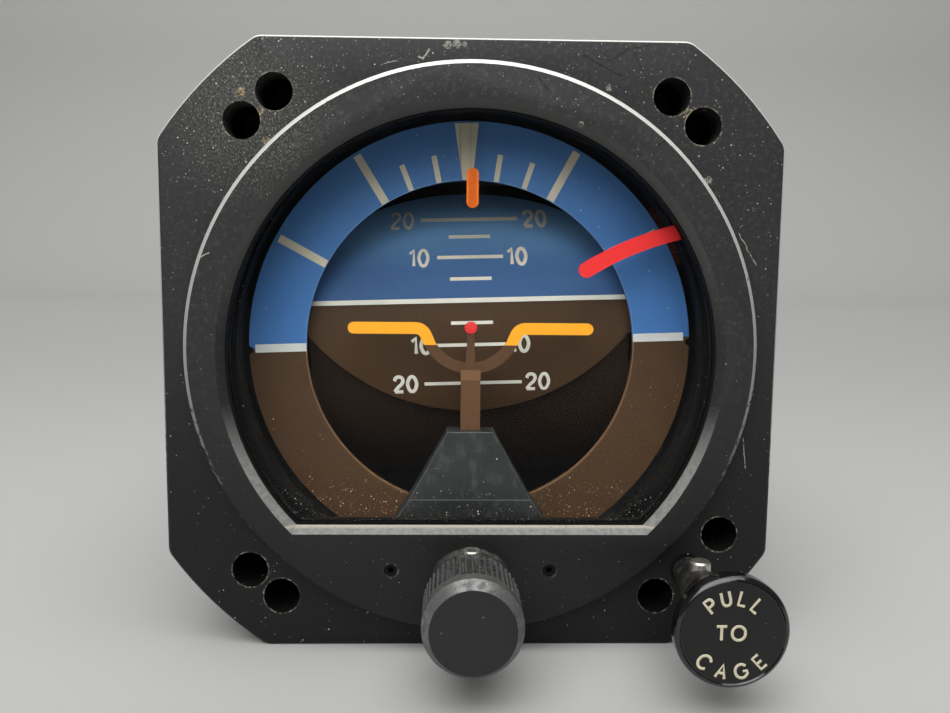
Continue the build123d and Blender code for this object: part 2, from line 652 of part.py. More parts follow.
with BuildPart() as trim_knob:
    knurl_front = trim_front + trim_bevel + trim_smooth
    knurl_back = trim_back - trim_collar
    with BuildSketch(turning(0, trim_height)):
        with BuildLine():
            Polyline(
                (0, trim_front),
                (trim_face_radius, trim_front),
                (trim_radius, trim_front + trim_bevel),
                (trim_radius, knurl_front),
                (trim_radius - knurl_depth, knurl_front + knurl_step),
                (trim_radius - knurl_depth, knurl_back),
                (trim_collar_radius, knurl_back),
                (trim_collar_radius, trim_back - trim_back_edge),
                (trim_collar_radius - trim_back_edge, trim_back),
                (0, trim_back),
                close=True,
            )
        make_face()
    revolve(axis=trim_axis)
    with BuildSketch(facing(knurl_front)):
        with Locations((0, trim_height)):
            with PolarLocations(trim_radius - knurl_depth - knurl_sink, knurl_teeth):
                Trapezoid(
                    knurl_width,
                    knurl_depth + knurl_sink,
                    knurl_flank,
                    rotation=-90,
                    align=(Align.CENTER, Align.MIN),
                )
    extrude(amount=-(knurl_back - knurl_front))
    with BuildSketch(facing(trim_back)):
        with Locations((0, trim_height)):
            Circle(trim_shaft_radius)
    extrude(amount=trim_back - trim_front - trim_solid_front, mode=Mode.SUBTRACT)
    with BuildSketch(Plane.XY.offset(trim_height + trim_shaft_radius)):
        with Locations((0, trim_back - trim_collar / 2)):
            Circle(set_screw_radius)
    extrude(amount=trim_radius, mode=Mode.SUBTRACT)
export(trim_knob, "trim_knob")

with BuildPart() as trim_set_screw:
    with BuildSketch(Plane.XY.offset(trim_height + trim_shaft_radius)):
        with Locations((0, trim_back - trim_collar / 2)):
            Circle(set_screw_radius)
    extrude(amount=trim_collar_radius - trim_shaft_radius + set_screw_stand)
    chamfer(trim_set_screw.faces().sort_by(Axis.Z)[-1].edges(), set_screw_chamfer)
    with BuildSketch(trim_set_screw.faces().sort_by(Axis.Z)[-1]):
        RegularPolygon(set_socket_radius, 6)
    extrude(amount=-set_socket_depth, mode=Mode.SUBTRACT)
export(trim_set_screw, "trim_set_screw")

# ---------------------------------------------------------------- cage knob and linkage
cage_axis = depth_axis(corner, -corner)
with BuildPart() as cage_bushing:
    with BuildSketch(turning(corner, -corner)):
        with BuildLine():
            bore = cage_rod_radius + running_clearance
            sleeve = cage_rod_radius + cage_bushing_wall
            Polyline(
                (bore, cage_bushing_front),
                (sleeve, cage_bushing_front),
                (sleeve, flange_thickness + cage_bushing_stand),
                (bore, flange_thickness + cage_bushing_stand),
                close=True,
            )
        make_face()
    revolve(axis=cage_axis)
export(cage_bushing, "cage_bushing")

with BuildPart() as cage_knob:
    with BuildSketch(turning(corner, -corner)):
        with BuildLine():
            rim_front = cage_front - label_recess
            rim_back = rim_front + cage_rim_width
            lip = (cage_label_radius + cage_lip, rim_front)
            shoulder = (cage_rim_radius, rim_front + cage_rim_round)
            under = (cage_rim_radius - cage_rim_round, rim_back + cage_rim_round)
            Polyline((0, cage_back), (0, cage_front), (cage_label_radius, cage_front), lip)
            quarter_round(lip, shoulder)
            Line(shoulder, (cage_rim_radius, rim_back))
            quarter_round(under, (cage_rim_radius, rim_back))
            ThreePointArc(
                under, (cage_waist_radius, cage_waist_depth), (cage_neck_radius, cage_back)
            )
            Line((cage_neck_radius, cage_back), (0, cage_back))
        make_face()
    revolve(axis=cage_axis)
    with BuildSketch(facing(cage_back)):
        with Locations((corner, -corner)):
            Circle(cage_rod_radius)
    extrude(amount=cage_back - cage_front - cage_solid_front, mode=Mode.SUBTRACT)
    with BuildSketch(Plane.XY.offset(-corner + cage_rod_radius)):
        with Locations((corner, cage_screw_depth)):
            Circle(cage_screw_radius)
    extrude(amount=cage_rim_radius, mode=Mode.SUBTRACT)
export(cage_knob, "cage_knob")

with BuildPart() as cage_set_screw:
    with BuildSketch(Plane.XY.offset(-corner + cage_rod_radius)):
        with Locations((corner, cage_screw_depth)):
            Circle(cage_screw_radius)
    extrude(amount=cage_neck_there - cage_rod_radius + cage_screw_stand)
    chamfer(cage_set_screw.faces().sort_by(Axis.Z)[-1].edges(), cage_screw_chamfer)
    with BuildSketch(cage_set_screw.faces().sort_by(Axis.Z)[-1]):
        RegularPolygon(cage_socket_radius, 6)
    extrude(amount=-cage_socket_depth, mode=Mode.SUBTRACT)
export(cage_set_screw, "cage_set_screw")

# rod with the wedge that pushes the plunger; the wedge rides behind the spring
linkage_side = Plane(
    origin=(0, 0, 0), x_dir=(sqrt(0.5), 0, -sqrt(0.5)), z_dir=(sqrt(0.5), 0, sqrt(0.5))
)
wedge_face = can_radius + wedge_gap + wedge_slope * (wedge_back - cam_plane_depth)
with BuildPart() as cage_rod:
    with BuildSketch(facing(cage_front + cage_solid_front)):
        with Locations((corner, -corner)):
            Circle(cage_rod_radius)
    extrude(amount=-(cage_rod_back - cage_front - cage_solid_front))
    with BuildSketch(linkage_side.offset(-wedge_width / 2)):
        with BuildLine():
            front_face = wedge_face + wedge_slope * (cam_plane_depth - wedge_front)
            back_face = wedge_face - wedge_slope * (wedge_back - cam_plane_depth)
            Polyline(
                (front_face, wedge_front),
                (cage_distance, wedge_front),
                (cage_distance, wedge_back),
                (back_face, wedge_back),
                close=True,
            )
        make_face()
    extrude(amount=wedge_width)
export(cage_rod, "cage_rod")

with BuildPart() as cage_spring_clip:
    with BuildSketch(facing(spring_clip_depth)):
        with Locations((corner, -corner)):
            Circle(spring_radius)
            Circle(cage_rod_radius, mode=Mode.SUBTRACT)
    extrude(amount=-spring_clip_thickness)
export(cage_spring_clip, "cage_spring_clip")

spring_front = flange_thickness + cage_bushing_stand
spring_length = spring_clip_depth - spring_front - spring_wire
with BuildPart() as cage_spring:
    coil_radius = spring_radius - spring_wire / 2
    with BuildLine():
        coil = Helix(
            pitch=spring_length / spring_turns,
            height=spring_length,
            radius=coil_radius,
            center=(corner, spring_front + spring_wire / 2, -corner),
            direction=(0, 1, 0),
        )
    with BuildSketch(Plane(origin=coil @ 0, z_dir=coil % 0)):
        RegularPolygon(spring_wire / 2, 6)
    sweep(path=coil, is_frenet=True)
export(cage_spring, "cage_spring")

hollow_radius = tunnel_radius - tunnel_wall
tunnel_leg = cage_distance - can_radius + tunnel_radius
ear_depths = (front_ear_depth, wedge_front - rear_ear_gap - tunnel_ear)
ear_top = can_radius + ear_thickness + seat_clearance
with BuildPart() as cage_tunnel:
    with BuildSketch(facing(flange_thickness)) as tunnel_face:
        with Locations((corner, -corner)):
            Circle(tunnel_radius)
        with Locations(Location((corner, -corner, 0), (0, 0, -45))):
            Rectangle(tunnel_leg, 2 * tunnel_radius, align=(Align.MAX, Align.CENTER))
        Circle(can_radius, mode=Mode.SUBTRACT)
    extrude(amount=-(tunnel_back - flange_thickness))
    for ear_depth in ear_depths:
        with BuildSketch(facing(ear_depth)):
            Circle(can_radius + ear_thickness)
            Circle(can_radius, mode=Mode.SUBTRACT)
            with BuildLine():
                reach = 2 * can_radius
                low, high = radians(-45 - tunnel_ear_angle), radians(-45 + tunnel_ear_angle)
                Polyline(
                    (0, 0), (reach * cos(low), reach * sin(low)),
                    (reach * cos(high), reach * sin(high)), close=True,
                )
            make_face(mode=Mode.INTERSECT)
        extrude(amount=-tunnel_ear)
    with BuildSketch(facing(flange_thickness)):
        with Locations((corner, -corner)):
            Circle(hollow_radius)
        with Locations(Location((corner, -corner, 0), (0, 0, -45))):
            Rectangle(tunnel_leg, 2 * hollow_radius, align=(Align.MAX, Align.CENTER))
    extrude(amount=-(tunnel_back - tunnel_end_wall - flange_thickness), mode=Mode.SUBTRACT)
    ear_planes = [
        radial(-45 + side * ear_screw_angle, ear_top, ear_depth + tunnel_ear / 2)
        for side in (-1, 1)
        for ear_depth in ear_depths
    ]
    with BuildSketch(*ear_planes):
        Circle(screw_radius)
    extrude(amount=-2 * ear_thickness, mode=Mode.SUBTRACT)
export(cage_tunnel, "cage_tunnel")

# plunger in its guide: pushed inwards to the heart cam
plunger_travel = wedge_slope * cage_pull
plunger_tip = cam_high + cam_clearance + plunger_travel
plunger_line = radial(-45, 0, cam_plane_depth)
guide_step = plunger_guide_inner + plunger_guide_floor
collar_inner = can_radius - plunger_collar_inset - plunger_collar_height
with BuildPart() as plunger_guide:
    with BuildSketch(plunger_line.offset(plunger_guide_inner)):
        Circle(plunger_guide_radius)
    extrude(amount=can_radius - seat_clearance - plunger_guide_inner)
    with BuildSketch(plunger_line.offset(guide_step)):
        Circle(plunger_collar_radius + plunger_spring_gap)
    extrude(amount=can_radius - guide_step, mode=Mode.SUBTRACT)
    with BuildSketch(plunger_line.offset(plunger_guide_inner)):
        Circle(plunger_radius + running_clearance)
    extrude(amount=plunger_guide_floor, mode=Mode.SUBTRACT)
export(plunger_guide, "plunger_guide")

with BuildPart() as cage_plunger:
    with BuildSketch(plunger_line.offset(plunger_tip)):
        Circle(plunger_radius)
    extrude(amount=cage_distance - plunger_tip)
    with BuildSketch(plunger_line.offset(collar_inner)):
        Circle(plunger_collar_radius)
    extrude(amount=plunger_collar_height)
    with BuildSketch(linkage_side.offset(-wedge_width / 2)):
        with BuildLine():
            reach = 2 * plunger_radius
            seat = wedge_face - plunger_clearance
            Polyline(
                (seat + wedge_slope * reach, cam_plane_depth - reach),
                (seat - wedge_slope * reach, cam_plane_depth + reach),
                (cage_distance + reach, cam_plane_depth + reach),
                (cage_distance + reach, cam_plane_depth - reach),
                close=True,
            )
        make_face()
    extrude(amount=wedge_width, mode=Mode.SUBTRACT)
export(cage_plunger, "cage_plunger")

with BuildPart() as plunger_spring:
    wire = plunger_spring_wire
    lift = collar_inner - guide_step - wire
    with BuildLine():
        coil = Helix(
            pitch=lift / plunger_spring_turns,
            height=lift,
            radius=plunger_collar_radius - wire / 2,
            center=plunger_line.offset(guide_step + wire / 2).origin,
            direction=plunger_line.z_dir,
        )
    with BuildSketch(Plane(origin=coil @ 0, z_dir=coil % 0)):
        RegularPolygon(wire / 2, 5)
    sweep(path=coil, is_frenet=True)
export(plunger_spring, "plunger_spring")

# ---------------------------------------------------------------- warning flag
with BuildPart() as warning_flag:
    with BuildSketch(facing(flag_depth)):
        with BuildLine() as flag_line:
            ThreePointArc(flag_tip, flag_middle, flag_root)
        trace(flag_line.line, flag_width)
        with Locations(flag_tip):
            Circle(flag_width / 2)
        with BuildLine() as neck_line:
            Line(flag_line.line @ neck_start, flag_pivot)
        trace(neck_line.line, flag_neck)
        with Locations(flag_pivot):
            Circle(flag_hub_radius)
    extrude(amount=-flag_thickness)
export(warning_flag, "warning_flag")

bracket_depth = spigot_back
flag_shaft_back = bracket_depth + flag_bracket + flag_coil_length
with BuildPart() as flag_shaft:
    with BuildSketch(facing(flag_depth + flag_thickness)):
        with Locations(flag_pivot):
            Circle(flag_shaft_radius)
    extrude(amount=-(flag_shaft_back - flag_depth - flag_thickness))
export(flag_shaft, "flag_shaft")

pivot_distance = sqrt(flag_pivot[0] ** 2 + flag_pivot[1] ** 2)
pivot_angle = degrees(asin(flag_pivot[1] / pivot_distance))
with BuildPart() as flag_coil:
    with BuildSketch(facing(bracket_depth)):
        with Locations(flag_pivot):
            Circle(flag_coil_radius)
        with Locations(Location((*flag_pivot, 0), (0, 0, pivot_angle))):
            Rectangle(3 * flag_coil_radius, flag_bracket_length)
        Circle(inner_fit_radius, mode=Mode.INTERSECT)
        Circle(pivot_distance - flag_coil_radius, mode=Mode.SUBTRACT)
        with Locations(flag_pivot):
            Circle(flag_shaft_radius + running_clearance, mode=Mode.SUBTRACT)
    extrude(amount=-flag_bracket)
    with BuildSketch(facing(bracket_depth + flag_bracket)):
        with Locations(flag_pivot):
            Circle(flag_coil_radius)
            Circle(flag_shaft_radius + running_clearance, mode=Mode.SUBTRACT)
    extrude(amount=-flag_coil_length)
    with BuildSketch(facing(bracket_depth + flag_bracket + coil_cheek)):
        with Locations(flag_pivot):
            Circle(flag_coil_radius)
            Circle(flag_coil_radius - winding_step, mode=Mode.SUBTRACT)
    extrude(amount=-(flag_coil_length - 2 * coil_cheek), mode=Mode.SUBTRACT)
export(flag_coil, "flag_coil")

# ---------------------------------------------------------------- roll gimbal
dial_back = dial_depth + dial_thickness
with BuildPart() as roll_dial:
    with BuildSketch(facing_banked(dial_depth)):
        Circle(dial_radius)
        Circle(dial_inner_radius, mode=Mode.SUBTRACT)
        with Locations((dial_radius, 0), (-dial_radius, 0)):
            Circle(dial_notch_radius, mode=Mode.SUBTRACT)
    extrude(amount=-dial_thickness)
export(roll_dial, "roll_dial")

fork_side = Plane(origin=(0, 0, 0), x_dir=(0, 1, 0), z_dir=banked_x)
with BuildPart() as fork_gimbal:
    for side in (-1, 1):
        start = fork_inside if side > 0 else -fork_inside - fork_arm
        with BuildSketch(fork_side.offset(start)):
            with BuildLine():
                rear = fork_back + fork_plate
                upper_edge = [
                    (dial_back, fork_front_half),
                    (pitch_axis_depth + fork_taper, fork_front_half),
                    (fork_back, fork_rear_half),
                    (rear, fork_rear_half),
                ]
                Polyline(*upper_edge, *[(y, -z) for y, z in reversed(upper_edge)], close=True)
            make_face()
            with Locations((pitch_axis_depth, 0)):
                Circle(small_bearing_radius, mode=Mode.SUBTRACT)
            slot_edge = small_bearing_radius + fork_slot_rib
            with Locations((pitch_axis_depth - slot_edge - fork_front_slot[0] / 2, 0)):
                SlotOverall(*fork_front_slot, mode=Mode.SUBTRACT)
            with Locations((pitch_axis_depth + slot_edge + fork_rear_slot[0] / 2, 0)):
                SlotOverall(*fork_rear_slot, mode=Mode.SUBTRACT)
        extrude(amount=fork_arm)
    with BuildSketch(facing_banked(fork_back)):
        Circle(fork_plate_radius)
        with PolarLocations(fork_hole_distance, 4, 45):
            Circle(fork_hole_radius, mode=Mode.SUBTRACT)
    extrude(amount=-fork_plate)
export(fork_gimbal, "fork_gimbal")

with BuildPart() as pitch_bearings:
    for start in (fork_inside, -fork_inside - fork_arm):
        with BuildSketch(gyro_side.offset(start)):
            Circle(small_bearing_radius)
            Circle(small_bearing_bore, mode=Mode.SUBTRACT)
        extrude(amount=small_bearing_width)
export(pitch_bearings, "pitch_bearings")

roll_axis = Axis((0, 0, 0), (0, 1, 0))
roll_flange_front = fork_back + fork_plate
with BuildPart() as roll_shaft:
    with BuildSketch(turning(0, 0)):
        with BuildLine():
            journal = roll_shaft_radius - running_clearance
            Polyline(
                (0, roll_flange_front),
                (roll_flange_radius, roll_flange_front),
                (roll_flange_radius, roll_flange_front + roll_flange),
                (journal, roll_flange_front + roll_flange),
                (journal, roll_shaft_back),
                (0, roll_shaft_back),
                close=True,
            )
        make_face()
    revolve(axis=roll_axis)
    chamfer(roll_shaft.faces().sort_by(Axis.Y)[-1].edges(), pin_chamfer)
export(roll_shaft, "roll_shaft")

# heart cam: the radius grows evenly both ways from the notch
with BuildPart() as heart_cam:
    notch_angle = -45 + bank_at_rest
    lobe = []
    for step in range(-cam_steps, cam_steps + 1):
        angle = radians(notch_angle + step * 180 / cam_steps)
        radius = cam_low + (cam_high - cam_low) * abs(step) / cam_steps
        lobe.append((radius * cos(angle), radius * sin(angle)))
    with BuildSketch(facing(cam_depth)):
        with BuildLine():
            Spline(*lobe[: cam_steps + 1])
            Spline(*lobe[cam_steps:])
        make_face()
        Circle(roll_shaft_radius - running_clearance, mode=Mode.SUBTRACT)
    extrude(amount=-cam_thickness)
export(heart_cam, "heart_cam")

with BuildPart() as slip_rings:
    for ring in range(slip_ring_count):
        with BuildSketch(facing(slip_ring_start + ring * slip_ring_step)):
            Circle(slip_ring_radius)
            Circle(roll_shaft_radius - running_clearance, mode=Mode.SUBTRACT)
        extrude(amount=-slip_ring_width)
export(slip_rings, "slip_rings")

# ---------------------------------------------------------------- gyro and pitch drum
with BuildPart() as pitch_drum:
    with BuildSketch(gyro_side):
        Circle(drum_radius)
        Circle(drum_radius - drum_wall, mode=Mode.SUBTRACT)
        Rectangle(2 * drum_radius, 2 * drum_radius, align=(Align.MAX, Align.CENTER), mode=Mode.INTERSECT)
    extrude(amount=drum_half_width, both=True)
    with BuildSketch(gyro_front):
        with Locations((0, drum_top - drum_top_arc)):
            Circle(drum_top_arc)
        with Locations((0, drum_bottom + drum_bottom_arc)):
            Circle(drum_bottom_arc, mode=Mode.INTERSECT)
    extrude(amount=drum_radius + cut_margin, mode=Mode.INTERSECT)
    for start in (drum_half_width - cheek_thickness, -drum_half_width):
        with BuildSketch(gyro_side.offset(start)):
            Circle(trunnion_flange_radius + cheek_margin)
            with Locations((-drum_radius + drum_wall / 2, cheek_rise)):
                Rectangle(drum_radius - drum_wall / 2, cheek_arm, align=(Align.MIN, Align.CENTER))
            Circle(small_bearing_bore + seat_clearance, mode=Mode.SUBTRACT)
        extrude(amount=cheek_thickness)
export(pitch_drum, "pitch_drum")

shroud_radius = drum_radius - drum_wall - shroud_gap
shroud_half_width = drum_half_width - cheek_thickness
with BuildPart() as gyro_shroud:
    with BuildSketch(gyro_side):
        Circle(shroud_radius)
        Circle(shroud_radius - shroud_wall, mode=Mode.SUBTRACT)
        with BuildLine():
            cut = radians(180 - shroud_sweep)
            reach = 2 * shroud_radius
            Polyline(
                (0, 0), (reach * cos(cut), reach * sin(cut)), (reach, reach), (reach, -reach),
                (reach * cos(cut), -reach * sin(cut)), close=True,
            )
        make_face(mode=Mode.SUBTRACT)
    extrude(amount=shroud_half_width, both=True)
export(gyro_shroud, "gyro_shroud")

with BuildPart() as trunnions:
    for side in (-1, 1):
        flange_start = rotor_case_radius + case_boss
        start = flange_start if side > 0 else -shroud_half_width
        with BuildSketch(gyro_side.offset(start)):
            Circle(trunnion_flange_radius)
        extrude(amount=shroud_half_width - flange_start)
        shaft_start = shroud_half_width if side > 0 else -fork_inside - fork_arm
        with BuildSketch(gyro_side.offset(shaft_start)):
            Circle(small_bearing_bore - running_clearance)
        extrude(amount=fork_inside + fork_arm - shroud_half_width)
export(trunnions, "trunnions")

bearing_seat = rotor_case_half_height - small_bearing_width
spin = Axis(gyro_centre, spin_axis)
with BuildPart() as rotor_case:
    with BuildSketch(gyro.offset(-rotor_case_half_height)):
        Circle(rotor_case_radius)
    extrude(amount=rotor_case_half_height + case_split)
    for start in (rotor_case_radius - case_boss_root, -rotor_case_radius - case_boss):
        with BuildSketch(gyro_side.offset(start)):
            Circle(trunnion_flange_radius)
        extrude(amount=case_boss_root + case_boss)
    with BuildSketch(gyro.offset(-rotor_case_half_height + rotor_case_wall)):
        Circle(case_inside)
    extrude(amount=rotor_case_half_height - rotor_case_wall + case_split, mode=Mode.SUBTRACT)
    with BuildSketch(gyro.offset(-rotor_case_half_height + rotor_case_wall)):
        Circle(motor_post_radius)
    extrude(amount=rotor_case_half_height - rotor_case_wall + stator_height / 2)
    with BuildSketch(gyro.offset(-rotor_case_half_height)):
        Circle(lead_hole)
    extrude(amount=2 * rotor_case_half_height, mode=Mode.SUBTRACT)
    with BuildSketch(gyro.offset(-rotor_case_half_height)):
        Circle(small_bearing_radius)
    extrude(amount=small_bearing_width, mode=Mode.SUBTRACT)
export(rotor_case, "rotor_case")

with BuildPart() as rotor_case_cap:
    with BuildSketch(gyro_front):
        with BuildLine():
            top = rotor_case_half_height
            Polyline(
                (small_bearing_radius, top),
                (rotor_case_radius - cap_chamfer, top),
                (rotor_case_radius, top - cap_chamfer),
                (rotor_case_radius, case_split),
                (case_inside, case_split),
                (case_inside, top - cap_chamfer_inner),
                (rotor_case_radius - cap_chamfer_inner, top - rotor_case_wall),
                (motor_post_radius, top - rotor_case_wall),
                (motor_post_radius, bearing_seat - cap_seat_floor),
                (lead_hole, bearing_seat - cap_seat_floor),
                (lead_hole, bearing_seat),
                (small_bearing_radius, bearing_seat),
                close=True,
            )
        make_face()
    revolve(axis=spin)
export(rotor_case_cap, "rotor_case_cap")

with BuildPart() as rotor_bearings:
    for start in (-rotor_case_half_height, bearing_seat):
        with BuildSketch(gyro.offset(start)):
            Circle(small_bearing_radius)
            Circle(small_bearing_bore, mode=Mode.SUBTRACT)
        extrude(amount=small_bearing_width)
export(rotor_bearings, "rotor_bearings")

with BuildPart() as stator:
    with BuildSketch(gyro.offset(-stator_height / 2)):
        Circle(stator_radius)
        Circle(motor_post_radius, mode=Mode.SUBTRACT)
        with PolarLocations(stator_radius, stator_slots):
            Rectangle(2 * slot_reach, slot_opening, mode=Mode.SUBTRACT)
    extrude(amount=stator_height)
    below = -stator_height / 2 - winding_below
    for start, height in ((below, winding_below), (stator_height / 2, winding_above)):
        with BuildSketch(gyro.offset(start)):
            Circle(stator_radius - winding_inset)
            Circle(motor_post_radius + winding_gap, mode=Mode.SUBTRACT)
        extrude(amount=height)
export(stator, "stator")

with BuildPart() as gyro_rotor:
    with BuildSketch(gyro_front):
        with BuildLine():
            journal = small_bearing_bore - running_clearance
            Polyline(
                (journal, rotor_top - rotor_web),
                (rotor_radius - rotor_rim, rotor_top - rotor_web),
                (rotor_radius - rotor_rim, rotor_bottom),
                (rotor_radius, rotor_bottom),
                (rotor_radius, rotor_top),
                (rotor_hub_radius, rotor_top),
                (rotor_hub_radius, rotor_top + rotor_hub_height),
                (journal, rotor_top + rotor_hub_height),
                close=True,
            )
        make_face()
    revolve(axis=spin)
    with BuildSketch(gyro.offset(-rotor_case_half_height + journal_end_gap)):
        Circle(small_bearing_bore - running_clearance)
    extrude(amount=2 * (rotor_case_half_height - journal_end_gap))
export(gyro_rotor, "gyro_rotor")

# ---------------------------------------------------------------- case and bulkhead
with BuildPart() as bearing_bulkhead:
    with BuildSketch(facing(bulkhead_depth)):
        Circle(inner_fit_radius)
        with PolarLocations((bulkhead_hub_radius + inner_fit_radius) / 2, bulkhead_holes):
            Circle(bulkhead_hole_radius, mode=Mode.SUBTRACT)
    extrude(amount=-bulkhead_plate)
    with BuildSketch(facing(bulkhead_depth + bulkhead_plate)):
        Circle(inner_fit_radius)
        Circle(inner_fit_radius - bulkhead_rim_wall, mode=Mode.SUBTRACT)
    extrude(amount=-bulkhead_rim_depth)
    with BuildSketch(facing(bulkhead_hub_front)):
        Circle(bulkhead_hub_radius)
    extrude(amount=-(bulkhead_hub_back - bulkhead_hub_front))
    with BuildSketch(facing(bulkhead_hub_front)):
        Circle(roll_bearing_radius - bearing_shoulder)
    extrude(amount=-(bulkhead_hub_back - bulkhead_hub_front), mode=Mode.SUBTRACT)
    for start in (bulkhead_hub_front, bulkhead_hub_back - roll_bearing_width):
        with BuildSketch(facing(start)):
            Circle(roll_bearing_radius)
        extrude(amount=-roll_bearing_width, mode=Mode.SUBTRACT)
    with BuildSketch(*[radial(a, inner_fit_radius, bulkhead_screw_depth) for a in ring_angles]):
        Circle(screw_radius)
    extrude(amount=-(screw_length + cut_margin), mode=Mode.SUBTRACT)
export(bearing_bulkhead, "bearing_bulkhead")

with BuildPart() as roll_bearings:
    for start in (bulkhead_hub_front, bulkhead_hub_back - roll_bearing_width):
        with BuildSketch(facing(start)):
            Circle(roll_bearing_radius)
            Circle(roll_shaft_radius, mode=Mode.SUBTRACT)
        extrude(amount=-roll_bearing_width)
        for shield in (start, start + roll_bearing_width - shield_depth):
            with BuildSketch(facing(shield)):
                Circle(roll_bearing_radius - outer_race)
                Circle(roll_shaft_radius + inner_race, mode=Mode.SUBTRACT)
            extrude(amount=-shield_depth, mode=Mode.SUBTRACT)
export(roll_bearings, "roll_bearings")

with BuildPart() as housing_can:
    with BuildSketch(facing(flange_thickness)):
        Circle(can_radius)
        Circle(can_inside, mode=Mode.SUBTRACT)
    extrude(amount=-(can_back - flange_thickness))
    chamfer(housing_can.faces().sort_by(Axis.Y)[-1].outer_wire().edges(), can_chamfer)
    for depth in (front_screw_depth, bulkhead_screw_depth, cover_screw_depth):
        outside = [radial(a, can_radius + cut_margin, depth) for a in ring_angles]
        with BuildSketch(*outside):
            Circle(screw_head_radius + seat_clearance)
        extrude(amount=-(cut_margin + seat_clearance + screw_head_height), mode=Mode.SUBTRACT)
        with BuildSketch(*outside):
            Circle(screw_radius)
        extrude(amount=-(can_wall + 2 * cut_margin), mode=Mode.SUBTRACT)
    with BuildSketch(*ear_planes):
        Circle(screw_radius)
    extrude(amount=-(ear_thickness + can_wall + cut_margin), mode=Mode.SUBTRACT)
    with BuildSketch(plunger_line.offset(can_inside - cut_margin)):
        Circle(plunger_guide_radius)
    extrude(amount=can_wall + 2 * cut_margin, mode=Mode.SUBTRACT)
export(housing_can, "housing_can")

with BuildPart() as can_screws:
    for depth in (front_screw_depth, bulkhead_screw_depth, cover_screw_depth):
        with BuildSketch(*[radial(a, can_radius - seat_clearance, depth) for a in ring_angles]):
            Circle(screw_head_radius)
        extrude(amount=-screw_head_height)
        with BuildSketch(*[radial(a, can_radius - seat_clearance, depth) for a in ring_angles]):
            Circle(screw_radius - running_clearance)
        extrude(amount=-screw_length)
export(can_screws, "can_screws")

# ---------------------------------------------------------------- electrical end
with BuildPart() as circuit_board:
    with BuildSketch(facing(board_depth)):
        Circle(board_radius)
        with PolarLocations(post_distance, 4, 45):
            Circle(screw_radius, mode=Mode.SUBTRACT)
    extrude(amount=-board_thickness)
    with BuildSketch(facing(board_depth + board_thickness)):
        with Locations(transformer_place):
            Rectangle(*transformer_size)
    extrude(amount=-transformer_height)
    with BuildSketch(facing(board_depth + board_thickness)):
        with Locations(*capacitor_places):
            Circle(capacitor_radius)
    extrude(amount=-capacitor_height)
    with BuildSketch(facing(board_depth + board_thickness)):
        with Locations(*relay_places):
            Rectangle(*relay_size)
    extrude(amount=-relay_height)
export(circuit_board, "circuit_board")

with BuildPart() as board_posts:
    post_front = bulkhead_depth + bulkhead_plate
    with BuildSketch(facing(post_front)):
        with PolarLocations(post_distance, 4, 45):
            RegularPolygon(post_radius, 6)
            Circle(screw_radius, mode=Mode.SUBTRACT)
    extrude(amount=-(board_depth - post_front))
export(board_posts, "board_posts")

brush_front = slip_ring_start - brush_block_front
brush_reach = slip_ring_radius + brush_gap
with BuildPart() as brush_block:
    with BuildSketch(facing(brush_front)):
        with Locations((brush_reach, 0)):
            Rectangle(*brush_block_size, align=(Align.MIN, Align.CENTER))
    extrude(amount=-(board_depth - brush_front))
    with BuildSketch(Plane.YZ.offset(slip_ring_radius + brush_clearance)):
        for ring in range(slip_ring_count):
            ring_start = slip_ring_start + ring * slip_ring_step
            with Locations((ring_start + slip_ring_width / 2, 0)):
                Rectangle(*brush_size)
    extrude(amount=brush_reach - slip_ring_radius - brush_clearance)
export(brush_block, "brush_block")

with BuildPart() as rear_cover:
    with BuildSketch(facing(cover_front)):
        Circle(inner_fit_radius)
    extrude(amount=-rear_cover_rim)
    with BuildSketch(facing(cover_front)):
        Circle(inner_fit_radius - rear_cover_wall)
    extrude(amount=-(rear_cover_rim - rear_cover_plate), mode=Mode.SUBTRACT)
    chamfer(rear_cover.faces().sort_by(Axis.Y)[-1].edges(), rear_cover_chamfer)
    with BuildSketch(facing(cover_back - rear_cover_plate)):
        Circle(pin_distance + 2 * pin_radius)
        with GridLocations(connector_screws, connector_screws, 2, 2):
            Circle(screw_radius)
    extrude(amount=-rear_cover_plate, mode=Mode.SUBTRACT)
    with BuildSketch(*[radial(a, inner_fit_radius, cover_screw_depth) for a in ring_angles]):
        Circle(screw_radius)
    extrude(amount=-rear_cover_wall, mode=Mode.SUBTRACT)
export(rear_cover, "rear_cover")

with BuildPart() as connector_shell:
    mouth = cover_back + connector_flange + connector_length
    with BuildSketch(facing(cover_back)) as square:
        Rectangle(connector_square, connector_square)
        fillet(square.vertices(), connector_corner)
        with GridLocations(connector_screws, connector_screws, 2, 2):
            Circle(screw_radius, mode=Mode.SUBTRACT)
    extrude(amount=-connector_flange)
    with BuildSketch(facing(cover_back + connector_flange)):
        Circle(connector_radius)
    extrude(amount=-connector_length)
    chamfer(connector_shell.faces().sort_by(Axis.Y)[-1].edges(), connector_chamfer)
    with BuildSketch(facing(cover_back)):
        Circle(connector_radius - connector_wall)
    extrude(amount=-(connector_flange + connector_length), mode=Mode.SUBTRACT)
export(connector_shell, "connector_shell")

insert_face = mouth - insert_recess
with BuildPart() as connector_insert:
    with BuildSketch(facing(cover_back)):
        Circle(connector_radius - connector_wall)
        with PolarLocations(pin_distance, pin_count):
            Circle(pin_radius, mode=Mode.SUBTRACT)
    extrude(amount=-(insert_face - cover_back))
export(connector_insert, "connector_insert")

with BuildPart() as connector_pins:
    with BuildSketch(facing(cover_back - pin_tail)):
        with PolarLocations(pin_distance, pin_count):
            Circle(pin_radius)
    extrude(amount=-(insert_face + pin_reach - cover_back + pin_tail))
    chamfer(connector_pins.faces().group_by(Axis.Y)[-1].edges(), pin_chamfer)
export(connector_pins, "connector_pins")

